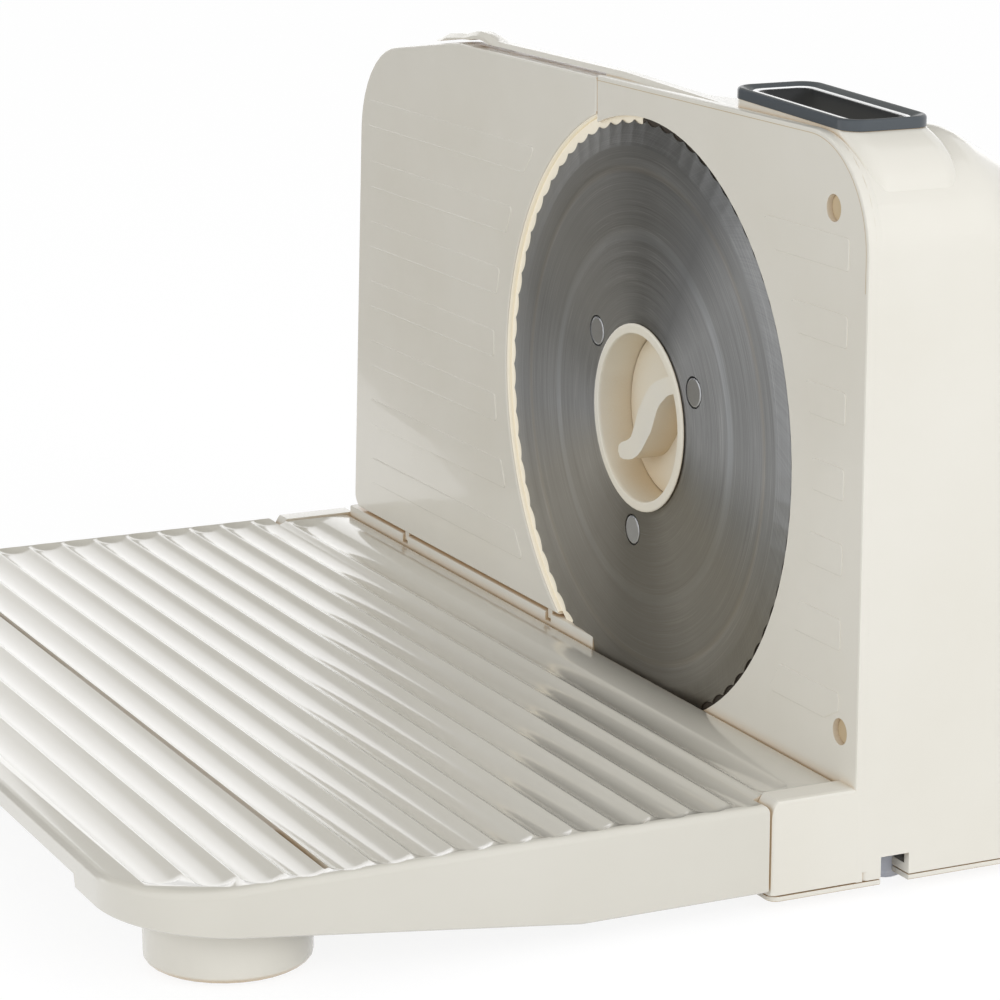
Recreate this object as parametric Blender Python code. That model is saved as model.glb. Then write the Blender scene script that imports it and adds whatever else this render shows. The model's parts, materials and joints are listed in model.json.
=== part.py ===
"""Folding food slicer: fluted table, serrated blade, stop plate and motor housing.

Every shape is worked out from the blade: x is zero on the cutting plane and grows towards the
motor, y runs along the blade plate, and z is zero at the blade's centre. The finished objects
are moved so that the part stands on z = 0 in the middle of its own footprint.
"""
import math

import bmesh
import bpy
from mathutils import Matrix, Vector

# Overall reach of the part, measured from the blade's centre.
TABLE_REACH = 0.200
BODY_DEPTH = 0.096
KNOB_HEIGHT = 0.014
NEAR_REACH = 0.1225
FAR_REACH = 0.2195
BLADE_HEIGHT = 0.1055
FOOT_STAND = 0.0045
PANEL_FOOT = BLADE_HEIGHT - FOOT_STAND

# Gaps between neighbours.
GAP = 0.0003
RUNNING_GAP = 0.0003
TABLE_GAP = 0.0010
OVERLAP = 0.0002
WELD = 0.000003

# Blade and hub.
BLADE_RADIUS = 0.085
BLADE_BORE = 0.0260
BLADE_THICKNESS = 0.0014
BLADE_FACE = 0.0001
EDGE_THICKNESS = 0.0003
BEVEL_WIDTH = 0.0071
TOOTH_DEPTH = 0.0011
TOOTH_COUNT = 72
TOOTH_STEPS = 3
HUB_WALL = 0.0016
HUB_LIP = 0.0012
HUB_DEPTH = 0.0140
HUB_FLOOR = 0.0020
FLANGE_RADIUS = 0.0272
FLANGE_THICKNESS = 0.0009
BACKING_RADIUS = 0.0400
BACKING_THICKNESS = 0.0020
RIVET_CIRCLE = 0.0342
RIVET_HEAD = 0.00415
RIVET_SHANK = 0.0020
RIVET_TAIL = 0.0034
RIVET_TAIL_HEIGHT = 0.0007
RIVET_RELIEF = 0.00045
RIVET_ANGLES = (37.0, 157.0, 277.0)

# Finger latch in the hub.
LATCH_PLATE = 0.0020
LATCH_SHAFT = 0.0044
LATCH_LENGTH = 0.0210
WEB_FRONT = 0.0002

# Gear train.
GEAR_FRONT = 0.0150
GEAR_WIDTH = 0.0080
MODULE_LARGE = 0.0015
MODULE_SMALL = 0.0010
TEETH_LARGE = 40
TEETH_SMALL = 10
MESH_SLACK = 0.0001
TRAIN_ANGLE = 214.0
SLEEVE_RADIUS = 0.0090
BUSH_WALL = 0.0027
IDLER_PIN = 0.0020
STEP_GEAR_FRONT = 0.0255
STEP_GEAR_WIDTH = 0.0055
PLATE_FRONT = 0.0335
PLATE_THICKNESS = 0.0025
PLATE_NEAR = 0.0700
PLATE_FAR = 0.0290
PLATE_LOW = 0.0540
PLATE_HIGH = 0.0360
LEG_RADIUS = 0.0030
LEG_INSET = 0.0045
MOTOR_RADIUS = 0.0250
MOTOR_REAR = 0.0053
MOTOR_SHAFT = 0.0016
MOTOR_CAP = 0.0080
MOTOR_CAP_LENGTH = 0.0040
ROUND_EDGE = 0.0015

# Fixed front panel and blade well.
PANEL_THICKNESS = 0.0026
PANEL_TOP = 0.0949
PANEL_CORNER = 0.0300
WELL_CLEARANCE = 0.0012
WELL_WALL = 0.0026
WELL_DEPTH = 0.0065
WELL_FLOOR = 0.0020
WELL_HOLE = 0.0280
SPLIT_Y = 0.0285
FLOOR_CLEARANCE = 0.0026
PANEL_SILL = 0.0765
SCREW_HOLE = 0.0036
SCREW_TUBE = 0.0014
SCREW_DEPTH = 0.0110
SCREW_HEAD = 0.0032
SCREW_HEAD_HEIGHT = 0.0022
SCREW_SHANK = 0.0015
SCREW_LENGTH = 0.0100
SCREW_UP_INSET = 0.0177
SCREW_UP_Y = NEAR_REACH - SCREW_UP_INSET
SCREW_UP_Z = 0.0757
SCREW_LOW_INSET = 0.0088
SCREW_LOW_Y = NEAR_REACH - SCREW_LOW_INSET
SCREW_LOW_Z = 0.0618

# Raised pads on both plates.
PAD_ROWS = 7
PAD_TOP = 0.0690
PAD_PITCH = 0.0201
PAD_HEIGHT = 0.0086
PAD_RISE = 0.0003
PAD_RADIUS = 0.0968
PAD_NEAR_SHARE = 0.63
PAD_NEAR = PAD_RADIUS + (NEAR_REACH - PAD_RADIUS) * PAD_NEAR_SHARE
PAD_FAR = 0.1925
PAD_CORNER = 0.0012
PAD_NOTCH = 0.0075
PAD_STEPS = 2

# Stop plate.
STOP_TOP = 0.0944
STOP_BROW = 0.1250
STOP_BROW_CORNER = 0.0600
STOP_SHOULDER = 0.0845
STOP_CORNER = 0.0320
STOP_TOP_FAR = 0.1975
STOP_LOW_FAR = 0.2075
STOP_BOTTOM = 0.0715
STOP_LOW_CORNER = 0.0045
STOP_ARC = 0.0885
STOP_SKIN = 0.0022
STOP_RIM = 0.0020
STOP_DEPTH = 0.0090
STOP_EDGE = 0.0008
STOP_TRAVEL = 0.0150
STOP_CLEARANCE = 0.0010
NUB_WIDTH = 0.0030
NUB_HEIGHT = 0.0030
NUB_FAR = 0.1652
NUB_NEAR = 0.0587
CARRIER_Y = 0.1280
CARRIER_HALF = 0.0160
CARRIER_HEIGHT = 0.0340
CARRIER_BACK = 0.0160
ROD_RADIUS = 0.0030
ROD_OFFSET = 0.0220
ROD_FRONT = 0.0050
ROD_BACK = 0.0620
SPINDLE_RADIUS = 0.0050
SPINDLE_FRONT = 0.0180
WALL_FRONT = 0.0330
WALL_THICKNESS = 0.0020
WALL_NEAR = 0.0340
WALL_FAR = 0.1800
WALL_LIFT = 0.0030
WALL_LOW = PANEL_FOOT - WALL_LIFT
WALL_HIGH = 0.0660
BRACKET_DEPTH = 0.0140
KNOB_RADIUS = 0.0260
KNOB_LOBES = 12
KNOB_LOBE_DEPTH = 0.0012
KNOB_STEPS = 6
KNOB_EDGE = 0.0020
KNOB_COLLAR = 0.0080

# Housing shell.
SHELL_WALL = 0.0024
SHELL_TOP = 0.0967
SHELL_LEDGE = 0.0943
SHELL_EDGE = 0.0013
ROOF_FLAT = 0.0070
LEDGE_FLAT = 0.0370
LEDGE_ROUND = 0.0035
LEDGE_BLEND = 0.0600
ROOF_PITCH = 25.0
LEDGE_PITCH = 31.0
SHELL_FAR_TOP = 0.1285
SHELL_FAR_LOW = 0.1960
SHELL_FAR_MID = 0.1870
SHELL_MID_Z = 0.0200
HUMP_CENTRE = 0.1140
HUMP_HALF = 0.0135
HUMP_RISE = 0.0020
SHELL_BACK_EDGE = 0.0040
GRIP_LOW = 0.0560
GRIP_HIGH = 0.0900
GRIP_FRONT = 0.0070
GRIP_BACK = 0.0440
GRIP_NEAR = 0.1400
VENT_COUNT = 7
VENT_WIDTH = 0.0030
VENT_LENGTH = 0.0340
VENT_PITCH = 0.0080
VENT_INSET = 0.0465
VENT_Y = NEAR_REACH - VENT_INSET
VENT_Z = 0.0350

# Base plate, feet and cord notch.
BASE_THICKNESS = 0.0015
BASE_CORNER = 0.0030
FOOT_RADIUS = 0.0060
FOOT_SOCKET = 0.0055
FOOT_TOP = PANEL_FOOT - FOOT_SOCKET
FOOT_DOME = 0.0025
FOOT_X = 0.0180
FOOT_BACK_INSET = 0.0140
FOOT_NEAR_INSET = 0.0145
FOOT_FAR_INSET = 0.0160
NOTCH_X = 0.0126
NOTCH_HALF = 0.0043
NOTCH_HEIGHT = 0.0059
NOTCH_TOP = PANEL_FOOT - NOTCH_HEIGHT
NOTCH_DEPTH = 0.0145

# Switch on the roof.
BEZEL_WIDTH = 0.0260
BEZEL_LENGTH = 0.0620
BEZEL_HEIGHT = 0.0030
BEZEL_FRAME = 0.0033
BEZEL_CORNER = 0.0058
BEZEL_X = 0.0160
BEZEL_INSET = 0.0475
BEZEL_Y = NEAR_REACH - BEZEL_INSET
LEDGE_REACH = 0.0335
LEDGE_END = BEZEL_Y - LEDGE_REACH
BEZEL_TILT = 2.1
BEZEL_LIFT = 0.0018
RING_WIDTH = 0.0008
RING_RISE = 0.0002
RING_DEPTH = 0.0022
BUTTON_DISH = 0.0045
BUTTON_SKIRT = 0.0085
BUTTON_RIM = 0.0010
BUTTON_DROP = 0.0008
BUTTON_TRAVEL = 0.0030
BUTTON_STEM = 0.0030
STEM_LENGTH = 0.0016
SWITCH_LENGTH = 0.0190
SWITCH_WIDTH = 0.0140
SWITCH_BODY = 0.0150
PLUNGER_RADIUS = 0.0018
PLUNGER_HEIGHT = 0.0020

# Folding table.
TABLE_TOP = 0.07566
TABLE_SKIN = 0.0030
TABLE_WALL = 0.0024
TABLE_EDGE = 0.0022
TABLE_CORNER = 0.0280
TABLE_FAR_CORNER = 0.0080
SKIRT_DEEP = 0.0240
SKIRT_SHALLOW = 0.0095
SKIRT_BEND = 0.0800
SKIRT_STEP = 0.0033
STEP_Y = 0.0788
STEP_WIDTH = 0.0010
FLUTE_COUNT = 16
FLUTE_STRIP = 0.0125
FLUTE_RIM = 0.0075
FLUTE_PITCH = (TABLE_REACH - FLUTE_STRIP - FLUTE_RIM) / FLUTE_COUNT
FLUTE_DEPTH = 0.0015
FLUTE_CREST = 0.0006
FLUTE_END = 0.0012
FLUTE_CORNER = 0.0400
FLUTE_STEPS = 4
FLUTE_TOP = 0.0010
SLOT_WIDTH = 0.0016
SLOT_AFTER = 12
SLOT_END = 0.0050
HINGE_X = 0.0180
HINGE_DROP = 0.0044
HINGE_PIN = 0.0016
PIN_LENGTH = 0.0150
EAR_RADIUS = 0.0072
EAR_THICKNESS = 0.0080
EAR_TOP = 0.0750
EAR_EDGE = 0.0014
EAR_REACH = 0.0010
KNUCKLE_LENGTH = 0.0100
KNUCKLE_HALF = 0.0050
KNUCKLE_DEPTH = 0.0085
TABLE_LEG_SETBACK = 0.0360
TABLE_LEG_NEAR_INSET = 0.0312
TABLE_LEG_FAR_INSET = 0.0345
TABLE_LEG_RADIUS = 0.0218
TABLE_LEG_TAPER = 0.0003
TABLE_LEG_EDGE = 0.0012
PAD_SOFT_RADIUS = 0.0150
PAD_SOFT_DEPTH = 0.0010
PAD_SOFT_RISE = 0.0010

# Points of smoothness.
ROUND_STEPS = 32
ARC_STEPS = 10
CORNER_STEPS = 4
LARGE_CORNER_STEPS = 10
SMALL_STEPS = 16
WIDE_STEPS = 56

# Angles in degrees beyond which an edge is shaded sharp.
SMOOTH = 30.0
BLADE_SMOOTH = 20.0
BUTTON_SMOOTH = 50.0

FULL_TURN = 2.0 * math.pi

# Shares of a size: 1 is the whole of it.
EDGE_SHARE = 0.29
TOOTH_TIP_SHARE = 0.80
TOOTH_ROOT_SHARE = 1.15
ROOT_SHARE = 0.30
TIP_SHARE = 0.13
CROSS_SHARE = 0.62
SHELF_SHARE = 0.45
SIDE_SHARE = 0.5
DOME_SHARE = 0.5
HALF_SHARE = 0.5
SHOULDER_SHARES = (-1.0, -0.5, 0.0, 0.5, 1.0)
DISH_SHARES = (0.15, 0.35, 0.6, 0.85)
DISH_REACH_SHARE = 0.8
FLUTE_SHARES = (0.97, 0.8, 0.45)
WEB_END_SHARES = ((0.47, -0.50), (0.16, -0.38), (-0.10, -0.02), (-0.32, 0.30), (-0.60, 0.48), (-0.79, 0.54))
WEB_WIDTH_SHARES = (0.10, 0.13, 0.19, 0.15, 0.11, 0.10)


def clear_scene():
    """Remove whatever the new file came with."""
    for item in list(bpy.data.objects):
        bpy.data.objects.remove(item, do_unlink=True)


def whole_offset():
    """Return the move that stands the part on the floor, centred on its footprint."""
    width = TABLE_REACH + BODY_DEPTH + KNOB_HEIGHT
    length = NEAR_REACH + FAR_REACH
    return Vector((TABLE_REACH - width / 2.0, NEAR_REACH - length / 2.0, BLADE_HEIGHT))


def arc(centre, radius, start, stop, steps):
    """Return points on an arc, with both ends, for angles in degrees."""
    points = []
    for index in range(steps + 1):
        angle = math.radians(start + (stop - start) * index / steps)
        points.append((centre[0] + radius * math.cos(angle), centre[1] + radius * math.sin(angle)))
    return points


def circle(centre, radius, steps=ROUND_STEPS):
    """Return points round a whole circle."""
    return arc(centre, radius, 0.0, 360.0 - 360.0 / steps, steps - 1)


def rounded_polygon(corners, steps=CORNER_STEPS):
    """Round each corner of a polygon given as (u, v, radius)."""
    points = []
    count = len(corners)
    for index, (u, v, radius) in enumerate(corners):
        here = Vector((u, v))
        before = Vector(corners[index - 1][:2]) - here
        after = Vector(corners[(index + 1) % count][:2]) - here
        if radius == 0:
            points.append((u, v))
            continue
        half = before.angle(after) / 2.0
        reach = radius / math.tan(half)
        start = here + before.normalized() * reach
        stop = here + after.normalized() * reach
        middle = here + (before.normalized() + after.normalized()).normalized() * (radius / math.sin(half))
        first = start - middle
        last = stop - middle
        for step in range(steps + 1):
            share = step / steps
            spoke = (first * (1.0 - share) + last * share).normalized() * radius
            points.append(tuple(middle + spoke))
    return points


def signed_area(points):
    """Return the signed area of a polygon."""
    total = 0.0
    for index, (u, v) in enumerate(points):
        following = points[(index + 1) % len(points)]
        total += u * following[1] - following[0] * v
    return total / 2.0


def inset(points, distance):
    """Move a polygon's outline inwards by a distance."""
    sign = 1.0 if signed_area(points) > 0 else -1.0
    moved = []
    count = len(points)
    for index, point in enumerate(points):
        here = Vector(point)
        before = (here - Vector(points[index - 1])).normalized()
        after = (Vector(points[(index + 1) % count]) - here).normalized()
        normal_before = Vector((-before.y, before.x)) * sign
        normal_after = Vector((-after.y, after.x)) * sign
        normal = normal_before + normal_after
        scale = 1.0 + normal_before.dot(normal_after)
        moved.append(tuple(here + normal * (distance / scale)))
    return moved


def loft(rings, capped=True, looped=False):
    """Join rings of equal length with quads; cap both ends or join the last to the first."""
    verts = [Vector(point) for ring in rings for point in ring]
    size = len(rings[0])
    faces = []
    pairs = len(rings) if looped else len(rings) - 1
    for level in range(pairs):
        upper = (level + 1) % len(rings)
        for index in range(size):
            following = (index + 1) % size
            faces.append((level * size + index, level * size + following,
                          upper * size + following, upper * size + index))
    if capped and not looped:
        faces.append(tuple(reversed(range(size))))
        faces.append(tuple((len(rings) - 1) * size + index for index in range(size)))
    return verts, faces


def join(*solids):
    """Put several closed shells into one list of points and faces."""
    verts = []
    faces = []
    for part_verts, part_faces in solids:
        base = len(verts)
        verts.extend(part_verts)
        faces.extend(tuple(base + index for index in face) for face in part_faces)
    return verts, faces


def along_x(points, front, back):
    """Extrude a (y, z) outline from front to back."""
    return loft([[(front, y, z) for y, z in points], [(back, y, z) for y, z in points]])


def along_y(points, near, far):
    """Extrude an (x, z) outline from near to far."""
    return loft([[(x, near, z) for x, z in points], [(x, far, z) for x, z in points]])


def along_z(points, low, high):
    """Extrude an (x, y) outline from low to high."""
    return loft([[(x, y, low) for x, y in points], [(x, y, high) for x, y in points]])


def block(low, high):
    """Return a box between two corners."""
    outline = [(low[1], low[2]), (high[1], low[2]), (high[1], high[2]), (low[1], high[2])]
    return along_x(outline, low[0], high[0])


def lathe(profile, centre=(0.0, 0.0), steps=ROUND_STEPS, hollow=True):
    """Turn an (x, radius) profile about an axis along x, as a closed ring or as a solid."""
    rings = [[(x, y, z) for y, z in circle(centre, radius, steps)] for x, radius in profile]
    return loft(rings, looped=hollow)


def upright(profile, centre, steps=ROUND_STEPS):
    """Stack circles given as (z, radius) into a solid that stands along z."""
    return loft([[(x, y, z) for x, y in circle(centre, radius, steps)] for z, radius in profile])


def make(name, solid, finish, pivot=(0.0, 0.0, 0.0), smooth=SMOOTH):
    """Turn points and faces into a named object whose origin is its pivot."""
    mesh = bpy.data.meshes.new(name)
    middle = Vector(pivot)
    mesh.from_pydata([Vector(vert) - middle for vert in solid[0]], [], solid[1])
    item = bpy.data.objects.new(name, mesh)
    bpy.context.scene.collection.objects.link(item)
    item.location = whole_offset() + middle
    tidy(mesh, smooth)
    mesh.materials.append(finish)
    return item


def tidy(mesh, smooth):
    """Weld, face outwards and shade a mesh."""
    work = bmesh.new()
    work.from_mesh(mesh)
    bmesh.ops.remove_doubles(work, verts=work.verts, dist=WELD)
    bmesh.ops.recalc_face_normals(work, faces=work.faces)
    if work.calc_volume(signed=True) < 0:
        bmesh.ops.reverse_faces(work, faces=work.faces)
    work.to_mesh(mesh)
    work.free()
    mesh.shade_smooth()
    mesh.set_sharp_from_angle(angle=math.radians(smooth))
    mesh.update()


def combine(item, solid, operation, smooth=SMOOTH):
    """Cut a solid from an object, or join it on."""
    mesh = bpy.data.meshes.new("tool")
    shift = item.location - whole_offset()
    mesh.from_pydata([Vector(vert) - shift for vert in solid[0]], [], solid[1])
    tool = bpy.data.objects.new("tool", mesh)
    tool.location = item.location
    bpy.context.scene.collection.objects.link(tool)
    tidy(mesh, smooth)
    modifier = item.modifiers.new("shape", "BOOLEAN")
    modifier.operation = operation
    modifier.solver = "EXACT"
    modifier.object = tool
    bpy.context.view_layer.update()
    graph = bpy.context.evaluated_depsgraph_get()
    result = bpy.data.meshes.new_from_object(item.evaluated_get(graph))
    item.modifiers.clear()
    former = item.data
    item.data = result
    result.name = item.name
    bpy.data.meshes.remove(former)
    bpy.data.objects.remove(tool, do_unlink=True)
    bpy.data.meshes.remove(mesh)
    tidy(result, smooth)


def cut(item, solid, smooth=SMOOTH):
    """Take a solid away from an object."""
    combine(item, solid, "DIFFERENCE", smooth)


def add(item, solid, smooth=SMOOTH):
    """Join a solid on to an object."""
    combine(item, solid, "UNION", smooth)


def tray(outline, place, depth_at, wall, skin, edge):
    """Make a face with a rim behind it.

    The outline is in (u, v), place turns (u, v, depth) into a point, and depth_at gives the
    rim's depth at each outline point.
    """
    depths = [depth_at(u, v) for u, v in outline]
    inner = inset(outline, wall)
    levels = [
        [place(u, v, 0.0) for u, v in inset(outline, edge)],
        [place(u, v, edge * EDGE_SHARE) for u, v in inset(outline, edge * EDGE_SHARE)],
        [place(u, v, edge) for u, v in outline],
        [place(u, v, depth) for (u, v), depth in zip(outline, depths)],
        [place(u, v, depth) for (u, v), depth in zip(inner, depths)],
        [place(u, v, skin) for u, v in inner],
    ]
    return loft(levels)


def material(name, colour, roughness, metallic=0.0):
    """Return a plain material with its own Principled shader."""
    finish = bpy.data.materials.new(name)
    finish.use_nodes = True
    shader = finish.node_tree.nodes.get("Principled BSDF")
    shader.inputs["Base Color"].default_value = (*colour, 1.0)
    shader.inputs["Roughness"].default_value = roughness
    shader.inputs["Metallic"].default_value = metallic
    return finish


def gear_outline(centre, teeth, module, towards):
    """Return a gear's outline with one tooth pointing in a direction given in degrees."""
    pitch_radius = module * teeth / 2.0
    tip = pitch_radius + module * TOOTH_TIP_SHARE
    root = pitch_radius - module * TOOTH_ROOT_SHARE
    step = 360.0 / teeth
    points = []
    for tooth in range(teeth):
        middle = towards + tooth * step
        for share, radius in ((-ROOT_SHARE, root), (-TIP_SHARE, tip), (TIP_SHARE, tip), (ROOT_SHARE, root)):
            angle = math.radians(middle + share * step)
            points.append((centre[0] + radius * math.cos(angle), centre[1] + radius * math.sin(angle)))
    return points


def polar(radius, angle):
    """Return the point at a radius and an angle in degrees."""
    return (radius * math.cos(math.radians(angle)), radius * math.sin(math.radians(angle)))


def rivet_points():
    """Return the rivets' places on the blade."""
    return [polar(RIVET_CIRCLE, angle) for angle in RIVET_ANGLES]


def blade_back():
    """Return how far back the blade's rear face lies."""
    return BLADE_FACE + BLADE_THICKNESS


def make_blade(steel):
    """Make the toothed disc with its ground edge."""
    profile = [
        (blade_back(), BLADE_BORE),
        (BLADE_FACE, BLADE_BORE),
        (BLADE_FACE, BLADE_RADIUS - BEVEL_WIDTH),
        (blade_back() - EDGE_THICKNESS, BLADE_RADIUS),
        (blade_back(), BLADE_RADIUS),
    ]
    steps = TOOTH_COUNT * TOOTH_STEPS
    rings = []
    for x, radius in profile:
        ring = []
        for index in range(steps):
            phase = FULL_TURN * index / TOOTH_STEPS
            dip = TOOTH_DEPTH * (1.0 - math.cos(phase)) / 2.0 if radius == BLADE_RADIUS else 0.0
            y, z = polar(radius - dip, 360.0 * index / steps)
            ring.append((x, y, z))
        rings.append(ring)
    blade = make("blade", loft(rings, looped=True), steel, smooth=BLADE_SMOOTH)
    for place in rivet_points():
        hole = along_x(circle(place, RIVET_HEAD + RIVET_RELIEF), BLADE_FACE - GAP, blade_back() + GAP)
        cut(blade, hole, BLADE_SMOOTH)
    return blade


def make_hub(cream):
    """Make the flanged cup that carries the blade."""
    outer = BLADE_BORE - GAP
    inner = outer - HUB_WALL
    bore = LATCH_SHAFT + RUNNING_GAP
    back = BLADE_FACE - GAP
    front = back - FLANGE_THICKNESS
    profile = [
        (HUB_DEPTH, bore),
        (HUB_DEPTH - HUB_FLOOR, bore),
        (HUB_DEPTH - HUB_FLOOR, inner),
        (front + HUB_LIP, inner),
        (front, inner + HUB_LIP * EDGE_SHARE),
        (front, FLANGE_RADIUS - FLANGE_THICKNESS),
        (front + FLANGE_THICKNESS * EDGE_SHARE, FLANGE_RADIUS),
        (back, FLANGE_RADIUS),
        (back, outer),
        (HUB_DEPTH, outer),
    ]
    return make("blade_hub", lathe(profile, steps=WIDE_STEPS), cream)


def make_backing(zinc):
    """Make the disc behind the blade that the rivets hold."""
    front = blade_back() + GAP
    profile = [
        (front, BLADE_BORE),
        (front, BACKING_RADIUS),
        (front + BACKING_THICKNESS, BACKING_RADIUS),
        (front + BACKING_THICKNESS, BLADE_BORE),
    ]
    backing = make("blade_backing", lathe(profile), zinc)
    for place in rivet_points():
        hole = along_x(circle(place, RIVET_SHANK + GAP, SMALL_STEPS), front - GAP,
                       front + BACKING_THICKNESS + GAP)
        cut(backing, hole)
    return backing


def make_rivet(name, place, zinc):
    """Make one flush rivet."""
    head_back = blade_back()
    tail_front = blade_back() + GAP + BACKING_THICKNESS + GAP
    edge = RIVET_RELIEF
    profile = [
        (BLADE_FACE, RIVET_HEAD - edge),
        (BLADE_FACE + edge * EDGE_SHARE, RIVET_HEAD),
        (head_back, RIVET_HEAD),
        (head_back, RIVET_SHANK),
        (tail_front, RIVET_SHANK),
        (tail_front, RIVET_TAIL),
        (tail_front + RIVET_TAIL_HEIGHT, RIVET_TAIL - edge),
    ]
    return make(name, lathe(profile, place, SMALL_STEPS, hollow=False), zinc)


def make_blade_gear(nylon):
    """Make the wheel and sleeve that turn the hub."""
    gear = make("blade_gear", along_x(gear_outline((0.0, 0.0), TEETH_LARGE, MODULE_LARGE, TRAIN_ANGLE),
                                      GEAR_FRONT, GEAR_FRONT + GEAR_WIDTH), nylon)
    sleeve_front = GEAR_FRONT + GEAR_WIDTH - OVERLAP
    add(gear, along_x(circle((0.0, 0.0), SLEEVE_RADIUS), sleeve_front, sleeve_back()))
    bore = along_x(circle((0.0, 0.0), LATCH_SHAFT + RUNNING_GAP), GEAR_FRONT - GAP, sleeve_back() + GAP)
    cut(gear, bore)
    return gear


def sleeve_back():
    """Return how far back the blade gear's sleeve reaches."""
    return PLATE_FRONT + PLATE_THICKNESS + BACKING_THICKNESS


def web_outline():
    """Return the outline of the curved finger web, as (y, z)."""
    reach = BLADE_BORE - GAP - HUB_WALL
    knots = [Vector((y * reach, z * reach)) for y, z in WEB_END_SHARES]
    widths = [share * reach for share in WEB_WIDTH_SHARES]
    centres = []
    halves = []
    for index in range(len(knots) - 1):
        before = knots[max(index - 1, 0)]
        here = knots[index]
        there = knots[index + 1]
        after = knots[min(index + 2, len(knots) - 1)]
        for step in range(CORNER_STEPS):
            share = step / CORNER_STEPS
            spot = catmull(before, here, there, after, share)
            centres.append(spot)
            halves.append(widths[index] * (1.0 - share) + widths[index + 1] * share)
    centres.append(knots[-1])
    halves.append(widths[-1])
    left = []
    right = []
    for index, spot in enumerate(centres):
        ahead = centres[min(index + 1, len(centres) - 1)]
        behind = centres[max(index - 1, 0)]
        along = (ahead - behind).normalized()
        across = Vector((-along.y, along.x)) * halves[index]
        left.append(tuple(spot + across))
        right.append(tuple(spot - across))
    start = (centres[0] - centres[1]).normalized()
    side = Vector((-start.y, start.x))
    cap = []
    for step in range(1, CORNER_STEPS):
        angle = math.pi * step / CORNER_STEPS
        cap.append(tuple(centres[0] + (side * math.cos(angle) + start * math.sin(angle)) * halves[0]))
    return cap + left + list(reversed(right))


def catmull(before, here, there, after, share):
    """Return a point on a smooth curve between two knots."""
    square = share * share
    cube = square * share
    linear = (there - before) * share
    bend = (before * 2.0 - here * 5.0 + there * 4.0 - after) * square
    twist = (here * 3.0 - before - there * 3.0 + after) * cube
    return here + (linear + bend + twist) / 2.0


def make_latch(cream):
    """Make the finger latch: a web across the cup, its plate and its shaft."""
    reach = BLADE_BORE - GAP - HUB_WALL - RUNNING_GAP
    plate_back = HUB_DEPTH - HUB_FLOOR - RUNNING_GAP
    plate_front = plate_back - LATCH_PLATE
    plate = along_x(circle((0.0, 0.0), reach, WIDE_STEPS), plate_front, plate_back)
    latch = make("blade_latch", plate, cream)
    web = along_x(web_outline(), WEB_FRONT, plate_front + OVERLAP)
    add(latch, web)
    add(latch, along_x(circle((0.0, 0.0), LATCH_SHAFT), plate_back - OVERLAP, plate_back + LATCH_LENGTH))
    return latch


def idler_place():
    """Return the idler's axis."""
    distance = MODULE_LARGE * (TEETH_LARGE + TEETH_SMALL) / 2.0 + MESH_SLACK
    return polar(distance, TRAIN_ANGLE)


def motor_place():
    """Return the motor's axis."""
    distance = MODULE_SMALL * (TEETH_LARGE + TEETH_SMALL) / 2.0 + MESH_SLACK
    step = polar(distance, TRAIN_ANGLE)
    centre = idler_place()
    return (centre[0] + step[0], centre[1] + step[1])


def make_idler(nylon):
    """Make the compound wheel between motor and blade."""
    centre = idler_place()
    half_tooth = 180.0 / TEETH_SMALL
    pinion = gear_outline(centre, TEETH_SMALL, MODULE_LARGE, TRAIN_ANGLE + 180.0 + half_tooth)
    solid = along_x(pinion, GEAR_FRONT - GAP, STEP_GEAR_FRONT + OVERLAP)
    idler = make("idler_gear", solid, nylon, (0.0, *centre))
    wheel = gear_outline(centre, TEETH_LARGE, MODULE_SMALL, TRAIN_ANGLE)
    add(idler, along_x(wheel, STEP_GEAR_FRONT, STEP_GEAR_FRONT + STEP_GEAR_WIDTH))
    bore = along_x(circle(centre, IDLER_PIN + RUNNING_GAP), GEAR_FRONT - 2.0 * GAP,
                   STEP_GEAR_FRONT + STEP_GEAR_WIDTH + GAP)
    cut(idler, bore)
    return idler


def make_motor_pinion(steel):
    """Make the motor's pinion with its shaft."""
    centre = motor_place()
    half_tooth = 180.0 / TEETH_SMALL
    outline = gear_outline(centre, TEETH_SMALL, MODULE_SMALL, TRAIN_ANGLE + 180.0 + half_tooth)
    pinion = make("motor_pinion", along_x(outline, STEP_GEAR_FRONT, STEP_GEAR_FRONT + STEP_GEAR_WIDTH), steel,
                  (0.0, *centre))
    add(pinion, along_x(circle(centre, MOTOR_SHAFT, SMALL_STEPS),
                        STEP_GEAR_FRONT + STEP_GEAR_WIDTH - OVERLAP, PLATE_FRONT + PLATE_THICKNESS))
    return pinion


def plate_outline():
    """Return the gear plate's outline, as (y, z)."""
    corner = 2.0 * LEG_RADIUS
    return rounded_polygon([
        (-PLATE_NEAR, -PLATE_LOW, corner),
        (PLATE_FAR, -PLATE_LOW, corner),
        (PLATE_FAR, PLATE_HIGH, corner),
        (-PLATE_NEAR, PLATE_HIGH, corner),
    ])


def leg_places():
    """Return where the gear plate's legs stand."""
    near = -PLATE_NEAR + LEG_INSET
    far = PLATE_FAR - LEG_INSET
    low = -PLATE_LOW + LEG_INSET
    high = PLATE_HIGH - LEG_INSET
    return [(near, low), (far, low), (far, high), (near, high)]


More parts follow.
